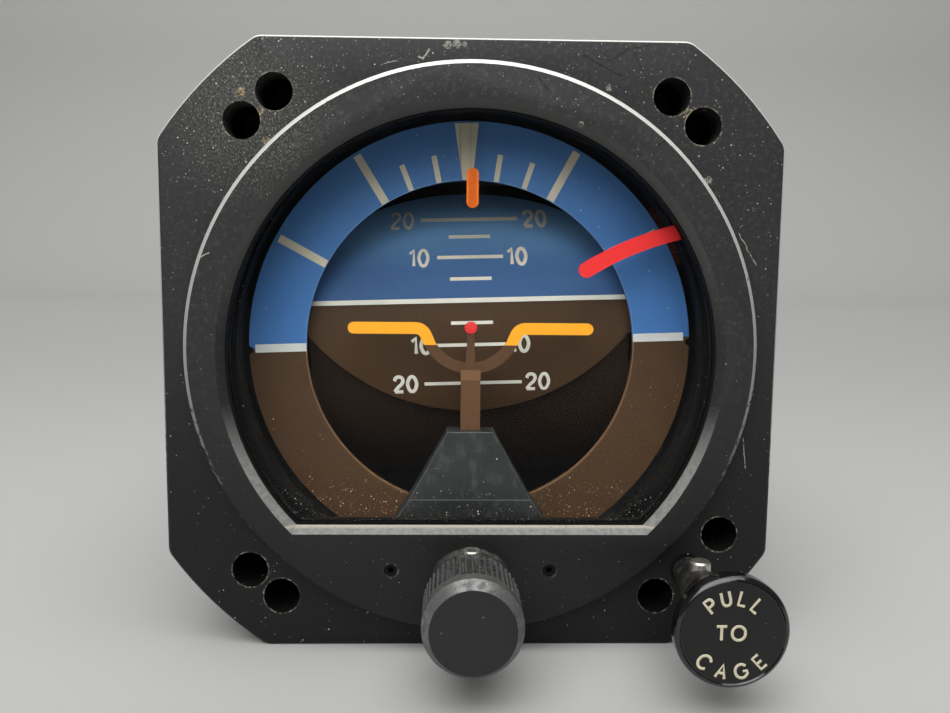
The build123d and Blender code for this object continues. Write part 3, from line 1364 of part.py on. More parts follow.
# the same pan head screw holds the tunnel, the board and the connector
with BuildPart() as pan_head_screws:
    board_back = facing(board_depth + board_thickness)
    connector_face = facing(cover_back + connector_flange)
    for radius, heads in ((screw_head_radius, True), (screw_radius, False)):
        with BuildSketch(*ear_planes):
            Circle(radius)
        extrude(amount=pan_head_height if heads else -(ear_thickness + can_wall))
        with BuildSketch(board_back):
            with PolarLocations(post_distance, 4, 45):
                Circle(radius)
        extrude(amount=-pan_head_height if heads else board_thickness + board_screw_reach)
        with BuildSketch(connector_face):
            with GridLocations(connector_screws, connector_screws, 2, 2):
                Circle(radius)
        extrude(amount=-pan_head_height if heads else connector_flange + rear_cover_plate)
export(pan_head_screws, "pan_head_screws")
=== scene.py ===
from math import asin, cos, degrees, radians, sin

import bmesh
import bpy
from mathutils import Matrix, Vector


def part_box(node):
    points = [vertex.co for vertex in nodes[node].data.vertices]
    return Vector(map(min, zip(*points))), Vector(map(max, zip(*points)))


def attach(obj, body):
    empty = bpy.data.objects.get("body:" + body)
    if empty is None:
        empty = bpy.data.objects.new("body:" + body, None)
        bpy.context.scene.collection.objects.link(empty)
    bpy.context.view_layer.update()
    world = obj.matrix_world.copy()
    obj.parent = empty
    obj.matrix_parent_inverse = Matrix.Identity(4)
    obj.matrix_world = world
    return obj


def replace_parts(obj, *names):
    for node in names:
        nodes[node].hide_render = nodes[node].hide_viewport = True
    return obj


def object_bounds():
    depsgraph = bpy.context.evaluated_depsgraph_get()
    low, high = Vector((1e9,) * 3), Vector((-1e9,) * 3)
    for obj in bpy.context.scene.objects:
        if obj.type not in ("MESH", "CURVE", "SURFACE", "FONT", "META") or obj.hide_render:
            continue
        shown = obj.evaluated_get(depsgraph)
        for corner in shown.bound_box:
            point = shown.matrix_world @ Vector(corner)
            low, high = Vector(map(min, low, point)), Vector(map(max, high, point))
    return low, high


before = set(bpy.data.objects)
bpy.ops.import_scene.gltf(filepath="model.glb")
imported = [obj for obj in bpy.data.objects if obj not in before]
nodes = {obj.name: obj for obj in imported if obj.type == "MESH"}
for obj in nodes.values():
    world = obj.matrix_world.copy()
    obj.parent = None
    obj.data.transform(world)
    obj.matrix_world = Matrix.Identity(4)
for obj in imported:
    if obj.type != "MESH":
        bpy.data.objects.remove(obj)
solid_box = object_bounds()
scene = bpy.context.scene
mm = 0.001

# ---------------------------------------- bezel casting
# One aluminium die casting: a square flange with cut corners and eight screw holes, and a
# raised disc that fills the panel's round hole. It is sprayed matt black, and the paint has
# gone from its corners with handling.


def tint(red, green, blue):
    """A shader colour from red, green and blue out of 255."""
    return tuple(((c / 255 + 0.055) / 1.055) ** 2.4 for c in (red, green, blue)) + (1.0,)


def effect(name, inputs, outputs):
    """An empty node group: inputs are float sockets with their values, plus a Vector."""
    group = bpy.data.node_groups.new(name, "ShaderNodeTree")
    new_socket = group.interface.new_socket
    new_socket(name="Vector", in_out="INPUT", socket_type="NodeSocketVector")
    for label, value in inputs:
        socket = new_socket(name=label, in_out="INPUT", socket_type="NodeSocketFloat")
        socket.default_value = value
    for label in outputs:
        new_socket(name=label, in_out="OUTPUT", socket_type="NodeSocketFloat")
    return group, group.nodes.new("NodeGroupInput"), group.nodes.new("NodeGroupOutput")


def feed(tree, socket, value):
    """Types a number or a colour into a socket, or links another socket to it."""
    if isinstance(value, (int, float, tuple)):
        socket.default_value = value
    else:
        tree.links.new(value, socket)


def math_of(tree, operation, *values):
    node = tree.nodes.new("ShaderNodeMath")
    node.operation = operation
    for place, value in enumerate(values):
        feed(tree, node.inputs[place], value)
    return node.outputs[0]


def noise_of(tree, vector, scale, detail=2.0, roughness=0.5):
    node = tree.nodes.new("ShaderNodeTexNoise")
    tree.links.new(vector, node.inputs["Vector"])
    feed(tree, node.inputs["Scale"], scale)
    node.inputs["Detail"].default_value = detail
    node.inputs["Roughness"].default_value = roughness
    return node.outputs["Fac"]


def stretched(tree, vector, scale):
    """A position with each axis scaled, so that a pattern on it is drawn out."""
    node = tree.nodes.new("ShaderNodeMapping")
    node.inputs["Scale"].default_value = scale
    tree.links.new(vector, node.inputs["Vector"])
    return node.outputs["Vector"]


def ramp_of(tree, value, low, high, floor=0.0, ceiling=1.0):
    """Runs from floor to ceiling while the value goes from low to high."""
    node = tree.nodes.new("ShaderNodeMapRange")
    node.interpolation_type = "SMOOTHSTEP"
    tree.links.new(value, node.inputs["Value"])
    limits = {"From Min": low, "From Max": high, "To Min": floor, "To Max": ceiling}
    for label, number in limits.items():
        node.inputs[label].default_value = number
    return node.outputs["Result"]


def laid_over(tree, mask, under, over):
    """Over covers under where the mask is 1; each is a colour or a socket."""
    node = tree.nodes.new("ShaderNodeMix")
    node.data_type = "RGBA"
    for place, value in ((0, mask), (6, under), (7, over)):
        feed(tree, node.inputs[place], value)
    return node.outputs[2]


grain_effect, grain_in, grain_out = effect("grain", [("Scale", 900.0)], ["Height", "Patch"])
grain_vector, grain_scale = grain_in.outputs["Vector"], grain_in.outputs["Scale"]
fine = noise_of(grain_effect, grain_vector, grain_scale, 3.0, 0.6)
grain_effect.links.new(fine, grain_out.inputs["Height"])
broad_scale = math_of(grain_effect, "MULTIPLY", grain_scale, 0.07)
broad = noise_of(grain_effect, grain_vector, broad_scale, 4.0, 0.65)
grain_effect.links.new(ramp_of(grain_effect, broad, 0.35, 0.65), grain_out.inputs["Patch"])

specks_effect, specks_in, specks_out = effect(
    "specks", [("Scale", 900.0), ("Cover", 0.1)], ["Mask"]
)
cells = specks_effect.nodes.new("ShaderNodeTexVoronoi")
for label in ("Vector", "Scale"):
    specks_effect.links.new(specks_in.outputs[label], cells.inputs[label])
chance = specks_effect.nodes.new("ShaderNodeSeparateColor")
specks_effect.links.new(cells.outputs["Color"], chance.inputs["Color"])
here, size, strength = chance.outputs
chosen = math_of(specks_effect, "LESS_THAN", here, specks_in.outputs["Cover"])
reach = math_of(specks_effect, "MULTIPLY_ADD", size, 0.22, 0.1)
near = math_of(specks_effect, "LESS_THAN", cells.outputs["Distance"], reach)
speck = math_of(specks_effect, "MULTIPLY", chosen, near)
speck = math_of(specks_effect, "MULTIPLY", speck, strength)
specks_effect.links.new(speck, specks_out.inputs["Mask"])


class Finish:
    """One material under way. Its x, y and z are sockets, in metres on the part."""

    def __init__(
        self, name, colour, roughness, metallic=0.0, scale=900.0, relief=0.00002, patches=0.25,
        shine=0.5,
    ):
        self.material = bpy.data.materials.new(name)
        self.material.use_nodes = True
        self.tree = self.material.node_tree
        self.shader = self.tree.nodes["Principled BSDF"]
        self.shader.inputs["Metallic"].default_value = metallic
        self.shader.inputs["Specular IOR Level"].default_value = shine
        self.vector = self.tree.nodes.new("ShaderNodeTexCoord").outputs["Object"]
        parts = self.tree.nodes.new("ShaderNodeSeparateXYZ")
        self.tree.links.new(self.vector, parts.inputs[0])
        self.x, self.y, self.z = parts.outputs
        grain = self.placed(grain_effect, Scale=scale)
        self.height, self.patch = grain.outputs["Height"], grain.outputs["Patch"]
        darker = tuple(c * (1 - patches) for c in colour[:3]) + (1.0,)
        self.colour = self.blend(self.patch, darker, colour)
        smoother, rougher = roughness * 0.85, min(1, roughness * 1.15)
        self.roughness = self.ramp(self.height, 0.3, 0.7, smoother, rougher)
        self.relief = relief

    def math(self, operation, *values):
        return math_of(self.tree, operation, *values)

    def times(self, *values):
        return math_of(self.tree, "MULTIPLY", *values)

    def ramp(self, *values):
        return ramp_of(self.tree, *values)

    def blend(self, mask, under, over):
        return laid_over(self.tree, mask, under, over)

    def noise(self, scale, detail=2.0, roughness=0.5, stretch=None):
        vector = stretched(self.tree, self.vector, stretch) if stretch else self.vector
        return noise_of(self.tree, vector, scale, detail, roughness)

    def placed(self, group, **values):
        """Puts a shared effect in the tree."""
        node = self.tree.nodes.new("ShaderNodeGroup")
        node.node_tree = group
        for label, value in {"Vector": self.vector, **values}.items():
            feed(self.tree, node.inputs[label], value)
        return node

    def cover(self, mask, colour, amount=1.0):
        """Lays a colour over the present one where the mask is."""
        if amount != 1.0:
            mask = self.times(mask, amount)
        self.colour = self.blend(mask, self.colour, colour)
        return self

    def dust(self, colour, scale, cover):
        """Round specks; cover is the share of the surface's cells that hold one."""
        specks = self.placed(specks_effect, Scale=scale, Cover=cover)
        return self.cover(specks.outputs["Mask"], colour)

    def settled(self, top, bottom, least, most, pale, dull):
        """Two sizes of dust that thicken from the height top down to bottom, in metres."""
        cover = self.ramp(self.z, top, bottom, least, most)
        return self.dust(pale, 2600.0, cover).dust(dull, 4600.0, cover)

    def rubs(self, colour, scale, stretch, low, high, amount):
        """Faint streaks, long in the direction with the smallest stretch."""
        streaks = self.noise(scale, 3.0, 0.6, stretch)
        return self.cover(self.ramp(streaks, low, high), colour, amount)

    def stroke(self, start, end, width, colour, amount):
        """One scratch across the front, in mm, thinner where the paint held."""
        run, rise = end[0] - start[0], end[1] - start[1]
        length = (run * run + rise * rise) ** 0.5
        middle = length / 2 * mm
        over = self.math("SUBTRACT", self.x, start[0] * mm)
        up = self.math("SUBTRACT", self.z, start[1] * mm)
        along = self.math("ADD", self.times(over, run / length), self.times(up, rise / length))
        aside = self.math("SUBTRACT", self.times(over, rise / length), self.times(up, run / length))
        sway = self.math("MULTIPLY_ADD", self.noise(500.0, 3.0), 0.8 * mm, -0.4 * mm)
        aside = self.math("ABSOLUTE", self.math("ADD", aside, sway))
        from_middle = self.math("ABSOLUTE", self.math("SUBTRACT", along, middle))
        beyond = self.math("SUBTRACT", from_middle, middle)
        off = self.math("MAXIMUM", aside, beyond)
        held = self.ramp(self.noise(1600.0, 2.0), 0.3, 0.5)
        line = self.ramp(off, width * mm, width / 2 * mm)
        return self.cover(self.times(line, held), colour, amount)

    def spot(self, x, z, inner, outer):
        """1 within the inner radius of a place, in mm, fading to 0 at the outer one."""
        across = self.math("POWER", self.math("SUBTRACT", self.x, x * mm), 2.0)
        up = self.math("POWER", self.math("SUBTRACT", self.z, z * mm), 2.0)
        distance = self.math("POWER", self.math("ADD", across, up), 0.5)
        return self.ramp(distance, inner * mm, outer * mm, 1.0, 0.0)

    def done(self):
        """Links the colour, the roughness and the relief to the shader."""
        links = self.tree.links
        links.new(self.colour, self.shader.inputs["Base Color"])
        links.new(self.roughness, self.shader.inputs["Roughness"])
        bump = self.tree.nodes.new("ShaderNodeBump")
        bump.inputs["Strength"].default_value = 1.0
        bump.inputs["Distance"].default_value = self.relief
        links.new(self.height, bump.inputs["Height"])
        links.new(bump.outputs["Normal"], self.shader.inputs["Normal"])
        return self.material


def give(material, *names):
    """Paints whole nodes of the frame."""
    for name in names:
        for slot in nodes[name].material_slots:
            slot.material = material


def piece(shape, name, body, *materials, sharp=30):
    """Makes an object of a shape and fixes it to a body."""
    mesh = bpy.data.meshes.new(name)
    shape.to_mesh(mesh)
    shape.free()
    for material in materials:
        mesh.materials.append(material)
    mesh.shade_smooth()
    mesh.set_sharp_from_angle(angle=radians(sharp))
    made = bpy.data.objects.new(name, mesh)
    scene.collection.objects.link(made)
    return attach(made, body)


def broken_edges(node, width, angle=35):
    """A copy of a node's shape with its sharp edges taken off by a small radius."""
    shape = bmesh.new()
    shape.from_mesh(nodes[node].data)
    bmesh.ops.remove_doubles(shape, verts=shape.verts, dist=0.5e-6)
    bmesh.ops.dissolve_limit(shape, angle_limit=radians(0.5), verts=shape.verts, edges=shape.edges)
    sharp = [
        e for e in shape.edges if len(e.link_faces) == 2 and e.calc_face_angle() > radians(angle)
    ]
    made = bmesh.ops.bevel(
        shape, geom=sharp, offset=width, offset_type="OFFSET", affect="EDGES", segments=2,
        profile=0.5, material=-1, clamp_overlap=True,
    )
    return shape, made["faces"]


screw_holes = (
    (27, 35.31), (-27, 35.31), (27, -35.31), (-27, -35.31),
    (31.43, 31.43), (-31.43, 31.43), (-31.43, -31.43), (35.96, -26.13),
)
cage_hole = (31.43, -31.43)
small_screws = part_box("face_setscrews")
screw_across = (small_screws[1].x - (small_screws[1].z - small_screws[0].z) / 2) / mm
screw_up = (small_screws[0].z + small_screws[1].z) / 2 / mm
small_holes = ((screw_across, screw_up), (-screw_across, screw_up))
worn_metal_highlight = tint(222, 222, 216)
paint_black = tint(40, 41, 41)
rim_width = 0.2
grime_spots = (
    (-28.9, 32.7, 1.6, 0.8), (-28.0, 28.6, 2.4, 0.8), (31.5, 34.6, 2.8, 0.6),
    (29.2, 33.2, 1.6, 0.8), (34.6, 28.6, 2.6, 0.4), (-28.5, -31.6, 2.0, 0.7),
    (-30.5, -38.4, 2.4, 0.4),
)
dark_scratches = (
    ((14.8, 40.5), (20.0, 38.0), 0.17), ((17.9, 39.8), (20.4, 41.2), 0.16),
    ((20.4, 41.2), (23.6, 42.2), 0.16), ((21.5, 41.0), (23.7, 37.2), 0.14),
    ((8.4, 37.2), (9.6, 35.6), 0.16), ((24.6, 28.6), (25.7, 29.3), 0.18),
)
bright_scratches = (
    ((-7.5, 40.1), (-6.9, 39.9), 0.16), ((-6.9, 39.9), (-6.2, 41.1), 0.16),
    ((37.0, 17.0), (39.6, 12.6), 0.08), ((-12.6, 38.9), (-10.4, 39.6), 0.08),
    ((38.9, -12.0), (39.4, -16.4), 0.08), ((-37.2, 12.6), (-35.4, 13.6), 0.1),
)
chips = (
    (-3.6, 41.7, 1.0), (-2.4, 41.9, 1.1), (-1.4, 41.8, 0.7),
    (32.4, 24.2, 1.0), (18.3, 36.4, 0.8), (14.2, 31.0, 0.7),
)


def shade(paint, mottle):
    """A grey bloom, made thicker towards the top as painted light, and painted shade lower down."""
    # The bloom is a grey haze on the paint; its thickening towards the top is painted light.
    thickness = paint.math("MULTIPLY_ADD", paint.ramp(paint.z, -0.03, 0.045), 0.6, 0.3)
    bloom = paint.times(paint.ramp(mottle, 0.48, 0.72), thickness)
    paint.cover(bloom, tint(78, 78, 75), 0.7)
    # Painted shade: the paint is darkened towards the bottom, and more on the lower flange.
    paint.cover(paint.ramp(paint.z, 0.006, -0.036), tint(20, 21, 21), 0.85)
    flange = paint.math("GREATER_THAN", paint.y, -0.6 * mm)
    paint.cover(paint.times(flange, paint.ramp(paint.z, 0.014, -0.03)), tint(9, 9, 9), 0.6)


def soil(paint):
    """Dust, most of it in the upper left corner, and grime caked beside the screw holes."""
    handled = paint.spot(-30, 32, 3, 15)
    powder = paint.times(paint.ramp(paint.noise(3400.0, 3.0, 0.7), 0.46, 0.62), handled)
    paint.cover(powder, tint(126, 124, 116), 0.45)
    upper = paint.times(paint.ramp(paint.z, -0.01, 0.044), 0.08)
    cover = paint.math("ADD", paint.math("MULTIPLY_ADD", handled, 0.4, 0.03), upper)
    paint.dust(tint(168, 168, 160), 4200.0, cover)
    paint.dust(tint(214, 213, 204), 3200.0, paint.times(cover, 0.3))
    grime = paint.times(paint.spot(-31.4, 35.0, 0.5, 2.2), 0.8)
    for x, z, radius, amount in grime_spots:
        patch = paint.times(paint.spot(x, z, 0.3, radius), amount)
        grime = paint.math("ADD", grime, patch)
    paint.dust(tint(204, 184, 144), 3000.0, paint.times(grime, 0.4))
    caked = paint.times(grime, paint.noise(1900.0, 5.0, 0.85))
    paint.cover(paint.ramp(caked, 0.38, 0.46), tint(190, 168, 124), 0.8)


def scratch(paint):
    """Scratches, some dark and some down to bright metal, and chips at the edges."""
    for start, end, width in dark_scratches:
        paint.stroke(start, end, width, tint(12, 12, 13), 0.9)
    for start, end, width in bright_scratches:
        paint.stroke(start, end, width, tint(168, 168, 158), 0.8)
    flaked = paint.noise(1700.0, 5.0, 0.9)
    for x, z, radius in chips:
        torn = paint.times(paint.spot(x, z, 0.4 * radius, 1.3 * radius), flaked)
        paint.cover(paint.ramp(torn, 0.46, 0.52), tint(158, 156, 142), 0.8)


def rub_holes(paint, mottle):
    """Broken arcs round the holes, where screws have taken the paint off the rim."""
    front = paint.math("LESS_THAN", paint.y, 0.05 * mm)
    arcs = paint.ramp(paint.noise(240.0, 3.0, 0.6), 0.4, 0.58, 0.15, 1.0)
    rubbed_through = paint.times(paint.ramp(mottle, 0.46, 0.58), paint.times(front, arcs))
    for holes, radius, colour in (
        (screw_holes, 2.6, tint(168, 162, 142)), (small_holes, 1.05, tint(104, 104, 100)),
    ):
        for x, z in holes:
            rim = paint.times(paint.spot(x, z, radius, radius + rim_width), rubbed_through)
            paint.cover(rim, colour, 0.75)


def bare_rim(paint):
    """Metal showing along the disc's rim and the flange's corner, least of it at the bottom, paler
    above and darker below as painted highlight and shade.
    """
    gone = paint.noise(700.0, 4.0, 0.7)
    on_disc = paint.math("LESS_THAN", paint.y, -1.0 * mm)
    kept = paint.ramp(paint.z, -0.034, 0.004, 0.75, 0.3)
    rubbed = paint.ramp(paint.math("SUBTRACT", gone, kept), -0.05, 0.05)
    corner = paint.ramp(paint.y, 0.1 * mm, 0.2 * mm)
    mask = paint.times(rubbed, paint.math("MAXIMUM", on_disc, corner))
    # Painted highlight and shade: the bare metal runs from dark grey low down to near white at the
    # top.
    rim_painted_light = paint.ramp(paint.z, -0.03, 0.034)
    paint.cover(mask, paint.blend(rim_painted_light, tint(88, 89, 88), worn_metal_highlight))
    paint.roughness = paint.ramp(mask, 0.0, 1.0, 0.5, 0.42)
    paint.tree.links.new(paint.times(mask, 0.4), paint.shader.inputs["Metallic"])


def bare_sill(paint, mottle):
    """The sloping edge round the window: grey above as painted light, pale below as wear with
    painted highlight, and dirty along its flat.
    """
    # Painted light: the downward-facing upper part of the edge is made grey.
    paint.cover(paint.ramp(paint.z, 0.0, 0.018), tint(76, 76, 75), 0.75)
    # Wear with painted highlight: the upward-facing lower part is made pale grey.
    low = paint.ramp(paint.z, -0.006, -0.018)
    paint.cover(low, tint(134, 135, 131))
    paint.cover(paint.times(paint.ramp(mottle, 0.4, 0.62), low), tint(104, 105, 102), 0.7)
    dirt = paint.times(paint.ramp(paint.z, -0.0247, -0.0243), paint.ramp(mottle, 0.3, 0.5))
    on_flat = paint.math("LESS_THAN", paint.z, -24.15 * mm)
    paint.cover(paint.times(dirt, on_flat), tint(196, 188, 166), 0.6)


def bezel_finish(name, kind=None):
    """Matt black paint for one kind of face: the plain ones, rim, hole or sill."""
    paint = Finish(
        name, paint_black, 0.5, scale=2600.0, relief=0.000012, patches=0.08, shine=0.3
    )
    mottle = paint.noise(1500.0, 5.0, 0.75)
    shade(paint, mottle)
    soil(paint)
    scratch(paint)
    rub_holes(paint, mottle)
    if kind == "rim":
        bare_rim(paint)
    if kind == "hole":
        paint.cover(paint.ramp(mottle, 0.46, 0.6), tint(170, 162, 138), 0.55)
    if kind == "sill":
        bare_sill(paint, mottle)
    return paint.done()


bezel_paints = (
    bezel_finish("bezel_black_paint"), bezel_finish("bezel_worn_rim_highlight", "rim"),
    bezel_finish("bezel_window_sill", "sill"), bezel_finish("bezel_hole_rim", "hole"),
)
plain_face, rim_face, sill_face, hole_face = range(4)
hole_reach, disc_reach, flat_half, flat_height, edge_depth = 3.2, 38, 9, -26, 4
casting, _ = broken_edges("bezel_casting", 0.12 * mm)
for face in casting.faces:
    face.material_index = plain_face
    centre = face.calc_center_median()
    place = Vector((centre.x, centre.z))
    if 0.2 < abs(face.normal.y) < 0.9 and centre.y < edge_depth * mm:
        holes = (*screw_holes, *small_holes, cage_hole)
        if any((place - Vector(hole) * mm).length < hole_reach * mm for hole in holes):
            face.material_index = hole_face
        elif place.length > disc_reach * mm:
            face.material_index = rim_face
        elif abs(place.x) > flat_half * mm or place.y > flat_height * mm:
            face.material_index = sill_face
bezel = piece(casting, "bezel", "case", *bezel_paints, sharp=15)
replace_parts(bezel, "bezel_casting")

# ---------------------------------------- thread caps
# Closed steel caps pressed on the back of the flange, one behind each screw hole, keep dirt
# and light out of the panel nuts. They are drawn from thin sheet and blackened.

cap_radius, cap_sheet, cap_rounding, cap_back, flange_back = 2.66, 0.1, 0.6, 11.0, 5.0
facing_front = Matrix.Rotation(radians(90), 3, "X")


def drawn_out(shape, extrusion, step):
    """Moves the corners that an extrusion made."""
    corners = [v for v in extrusion["geom"] if isinstance(v, bmesh.types.BMVert)]
    bmesh.ops.translate(shape, verts=corners, vec=step)


def faced_out(shape):
    bmesh.ops.recalc_face_normals(shape, faces=shape.faces)


def in_metres(shape):
    """Scales a shape that was drawn in millimetres."""
    bmesh.ops.scale(shape, verts=shape.verts, vec=(mm, mm, mm))


blackened = Finish(
    "blackened_steel", tint(14, 14, 14), 0.6, scale=1400.0, relief=0.00001, patches=0.3, shine=0.2
).done()
caps = bmesh.new()
for x, z in screw_holes:
    cup = bmesh.ops.create_circle(caps, cap_ends=True, segments=40, radius=cap_radius)["verts"]
    bmesh.ops.rotate(caps, verts=cup, matrix=facing_front)
    bmesh.ops.translate(caps, verts=cup, vec=(x, cap_back, z))
    rim = list({e for v in cup for e in v.link_edges if len(e.link_faces) == 1})
    wall = bmesh.ops.extrude_edge_only(caps, edges=rim)
    drawn_out(caps, wall, (0, flange_back - cap_back, 0))
faced_out(caps)
bottoms = [e for e in caps.edges if len(e.link_faces) == 2 and e.calc_face_angle() > radians(60)]
bmesh.ops.bevel(
    caps, geom=bottoms, offset=cap_rounding, affect="EDGES", segments=4, profile=0.5, material=-1
)
bmesh.ops.solidify(caps, geom=caps.faces[:], thickness=cap_sheet)
faced_out(caps)
in_metres(caps)
piece(caps, "thread_caps", "case", blackened)
give(blackened, "face_setscrews", "cage_bushing")

# ---------------------------------------- window
# Flat D-shaped glass with a low-glare coating, bedded on a black rubber gasket and held from
# behind by a pressed retainer ring.


def clear_sheet(name, roughness, ior, scale, detail, duller, clearer):
    """Clear glass or plastic with a faint uneven tone."""
    sheet = bpy.data.materials.new(name)
    sheet.use_nodes = True
    tree = sheet.node_tree
    shader = tree.nodes["Principled BSDF"]
    shader.inputs["Transmission Weight"].default_value = 1.0
    shader.inputs["Roughness"].default_value = roughness
    shader.inputs["IOR"].default_value = ior
    vector = tree.nodes.new("ShaderNodeTexCoord").outputs["Object"]
    tone = ramp_of(tree, noise_of(tree, vector, scale, detail), 0.3, 0.7)
    tree.links.new(laid_over(tree, tone, duller, clearer), shader.inputs["Base Color"])
    return sheet


glass = clear_sheet(
    "coated_glass", 0.0, 1.15, 40.0, 3.0, tint(250, 252, 250), tint(255, 255, 254)
)
give(glass, "window_glass")
nodes["window_glass"].visible_shadow = False

rubber = Finish("gasket_rubber", tint(12, 12, 12), 0.75, scale=2500.0, relief=0.00002, shine=0.2)
give(rubber.done(), "glass_gasket")

inner_black = Finish(
    "inner_black", tint(13, 13, 13), 0.6, scale=1600.0, relief=0.000006, shine=0.15
)
inner_black.settled(-0.0185, -0.0235, 0.015, 0.3, tint(206, 200, 184), tint(190, 184, 168))
give(inner_black.done(), "glass_retainer", "dial_mask", "symbol_guide")

# ---------------------------------------- roll dial
# Thin aluminium ring on the front of the roll gimbal, sky blue above its horizon and earth
# brown below, with cream bank marks and grey horizon bands silk-screened on it.

bank, band_bank = 1.5, 2.05
band_bottom, band_top, mark_lift = -0.07, 1.15, 0.42
banked = Matrix.Rotation(radians(-bank), 4, "Y")
band_banked = Matrix.Rotation(radians(-band_bank), 4, "Y")
dial_front = 9.5
dial_inner, mark_start, band_end = 24.5, 24.55, 32.1
short_end, long_end, zero_end = 28.1, 32.2, 32.3
ink = 0.05


def print_ink(name, colour):
    return Finish(name, colour, 0.5, scale=2600.0, relief=0.000003, patches=0.1, shine=0.3)


def banked_height(finish, angle):
    """Height above a line through the roll axis, raised at its right end by the angle."""
    upright = finish.times(finish.z, cos(radians(angle)))
    return finish.math("ADD", upright, finish.times(finish.x, -sin(radians(angle))))


dial_paint = Finish(
    "roll_dial_paint", tint(66, 45, 24), 0.55, scale=2200.0, relief=0.000001, patches=0.06,
    shine=0.25,
)
band_middle = 0.5 * (band_bottom + band_top)
level = dial_paint.math("SUBTRACT", banked_height(dial_paint, band_bank), band_middle * mm)
# Painted shade: the sky's blue is made slightly greyer towards the top of the ring.
sky = dial_paint.blend(dial_paint.ramp(level, 0.0, 0.03), tint(57, 106, 165), tint(62, 106, 158))
above = dial_paint.math("GREATER_THAN", level, 0.0)
dial_paint.cover(above, sky)
lit_edge = dial_paint.blend(above, tint(150, 116, 84), tint(104, 140, 186))
dial_paint.cover(dial_paint.spot(0, 0, dial_inner + 0.1, dial_inner + 0.2), lit_edge, 0.45)
dial_paint.settled(-0.019, -0.0245, 0.008, 0.2, tint(206, 198, 180), tint(190, 182, 164))
give(dial_paint.done(), "roll_dial")

cream = print_ink("cream_ink", tint(190, 183, 164)).done()
band_grey = print_ink("band_grey_ink", tint(196, 198, 196)).done()
brushed_cream = print_ink("brushed_cream_ink", tint(196, 189, 168))
brush_lines = brushed_cream.noise(1.0, 2.0, stretch=(3200, 0.1, 60))
brushed_cream.cover(brushed_cream.ramp(brush_lines, 0.45, 0.7), tint(150, 144, 128))
brushed_cream = brushed_cream.done()


def moved(shape, step):
    bmesh.ops.translate(shape, verts=shape.verts, vec=step)


def bank_mark(angle, end, width, end_width=None):
    """A bar along a radius of the dial, printed a hair proud of it."""
    shape = bmesh.new()
    bmesh.ops.create_cube(shape, size=1.0)
    for corner in shape.verts:
        if corner.co.z > 0 and end_width:
            corner.co.x *= end_width / width
        corner.co.x *= width
        corner.co.y *= ink
        corner.co.z = mark_start - mark_lift * cos(radians(angle)) if corner.co.z < 0 else end
    moved(shape, (0, dial_front - ink / 4, 0))
    place = banked @ Matrix.Rotation(radians(angle), 4, "Y")
    lift = Matrix.Translation((0, 0, mark_lift))
    bmesh.ops.transform(shape, matrix=Matrix.Scale(mm, 4) @ lift @ place, verts=shape.verts)
    return shape


def joined(*shapes):
    """One shape of several."""
    whole = bmesh.new()
    for shape in shapes:
        carrier = bpy.data.meshes.new("carrier")
        shape.to_mesh(carrier)
        shape.free()
        whole.from_mesh(carrier)
        bpy.data.meshes.remove(carrier)
    return whole


short_marks = [bank_mark(side * angle, short_end, 0.78) for side in (-1, 1) for angle in (10, 20)]
long_marks = [bank_mark(side * angle, long_end, 1.2) for side in (-1, 1) for angle in (30, 60)]
marks = joined(*short_marks, *long_marks)
piece(marks, "bank_marks", "roll_gimbal", cream)
zero_mark = bank_mark(0, zero_end, 1.5, 3.5)
piece(zero_mark, "bank_zero_mark", "roll_gimbal", brushed_cream)

bands = []
for side in (-1, 1):
    shape = bmesh.new()
    bmesh.ops.create_cube(shape, size=1.0)
    for corner in shape.verts:
        corner.co = (
            side * (band_end if corner.co.x > 0 else dial_inner),
            dial_front + (-0.25 if corner.co.y < 0 else 0.5) * ink,
            band_top if corner.co.z > 0 else band_bottom,
        )
    bmesh.ops.transform(shape, matrix=Matrix.Scale(mm, 4) @ band_banked, verts=shape.verts)
    faced_out(shape)
    bands.append(shape)
piece(joined(*bands), "horizon_bands", "roll_gimbal", band_grey)

# ---------------------------------------- pitch drum
# Thin drum carried by the gyro, so that it stays level as the aircraft pitches. It is painted
# in two colours about its horizon line, and its pitch scale is printed on the curve.

pitch_axis_depth, drum_radius = 39.0, 27.0
horizon_angle, horizon_height = 14.37, 6.7
half_span, horizon_line = 25.6, 0.7
drum_bank = 1.75
drum_print = Matrix.Rotation(radians(-drum_bank), 4, "Y") @ Matrix.Translation((0.37, 0, 0))


def drum_level(finish, angle):
    """Distance above the plane through the pitch axis and the horizon line."""
    ahead = finish.math("ADD", finish.y, -pitch_axis_depth * mm)
    upright = finish.times(banked_height(finish, drum_bank), cos(radians(angle)))
    return finish.math("ADD", finish.times(ahead, sin(radians(angle))), upright)


drum_paint = Finish(
    "pitch_drum_paint", tint(63, 43, 23), 0.6, scale=2200.0, relief=0.000001, patches=0.06,
    shine=0.2,
)
drum_up = drum_level(drum_paint, horizon_angle)
# Painted light: the sky is made much paler towards the top of the drum, where the ring shades it.
drum_painted_light = drum_paint.ramp(drum_up, 0.004, 0.014)
drum_sky_with_painted_light = drum_paint.blend(drum_painted_light, tint(52, 87, 134), tint(106, 150, 194))
drum_paint.cover(drum_paint.math("GREATER_THAN", drum_up, 0.0), drum_sky_with_painted_light)
give(drum_paint.done(), "pitch_drum")

shroud_paint = Finish(
    "shroud_paint", tint(34, 23, 15), 0.7, scale=2000.0, relief=0.000001, patches=0.1, shine=0.1
)
give(shroud_paint.done(), "gyro_shroud")


def split(shape, point, normal):
    """Cuts new edges where a plane meets the shape, and keeps both sides."""
    everything = shape.verts[:] + shape.edges[:] + shape.faces[:]
    bmesh.ops.bisect_plane(shape, geom=everything, plane_co=point, plane_no=normal)


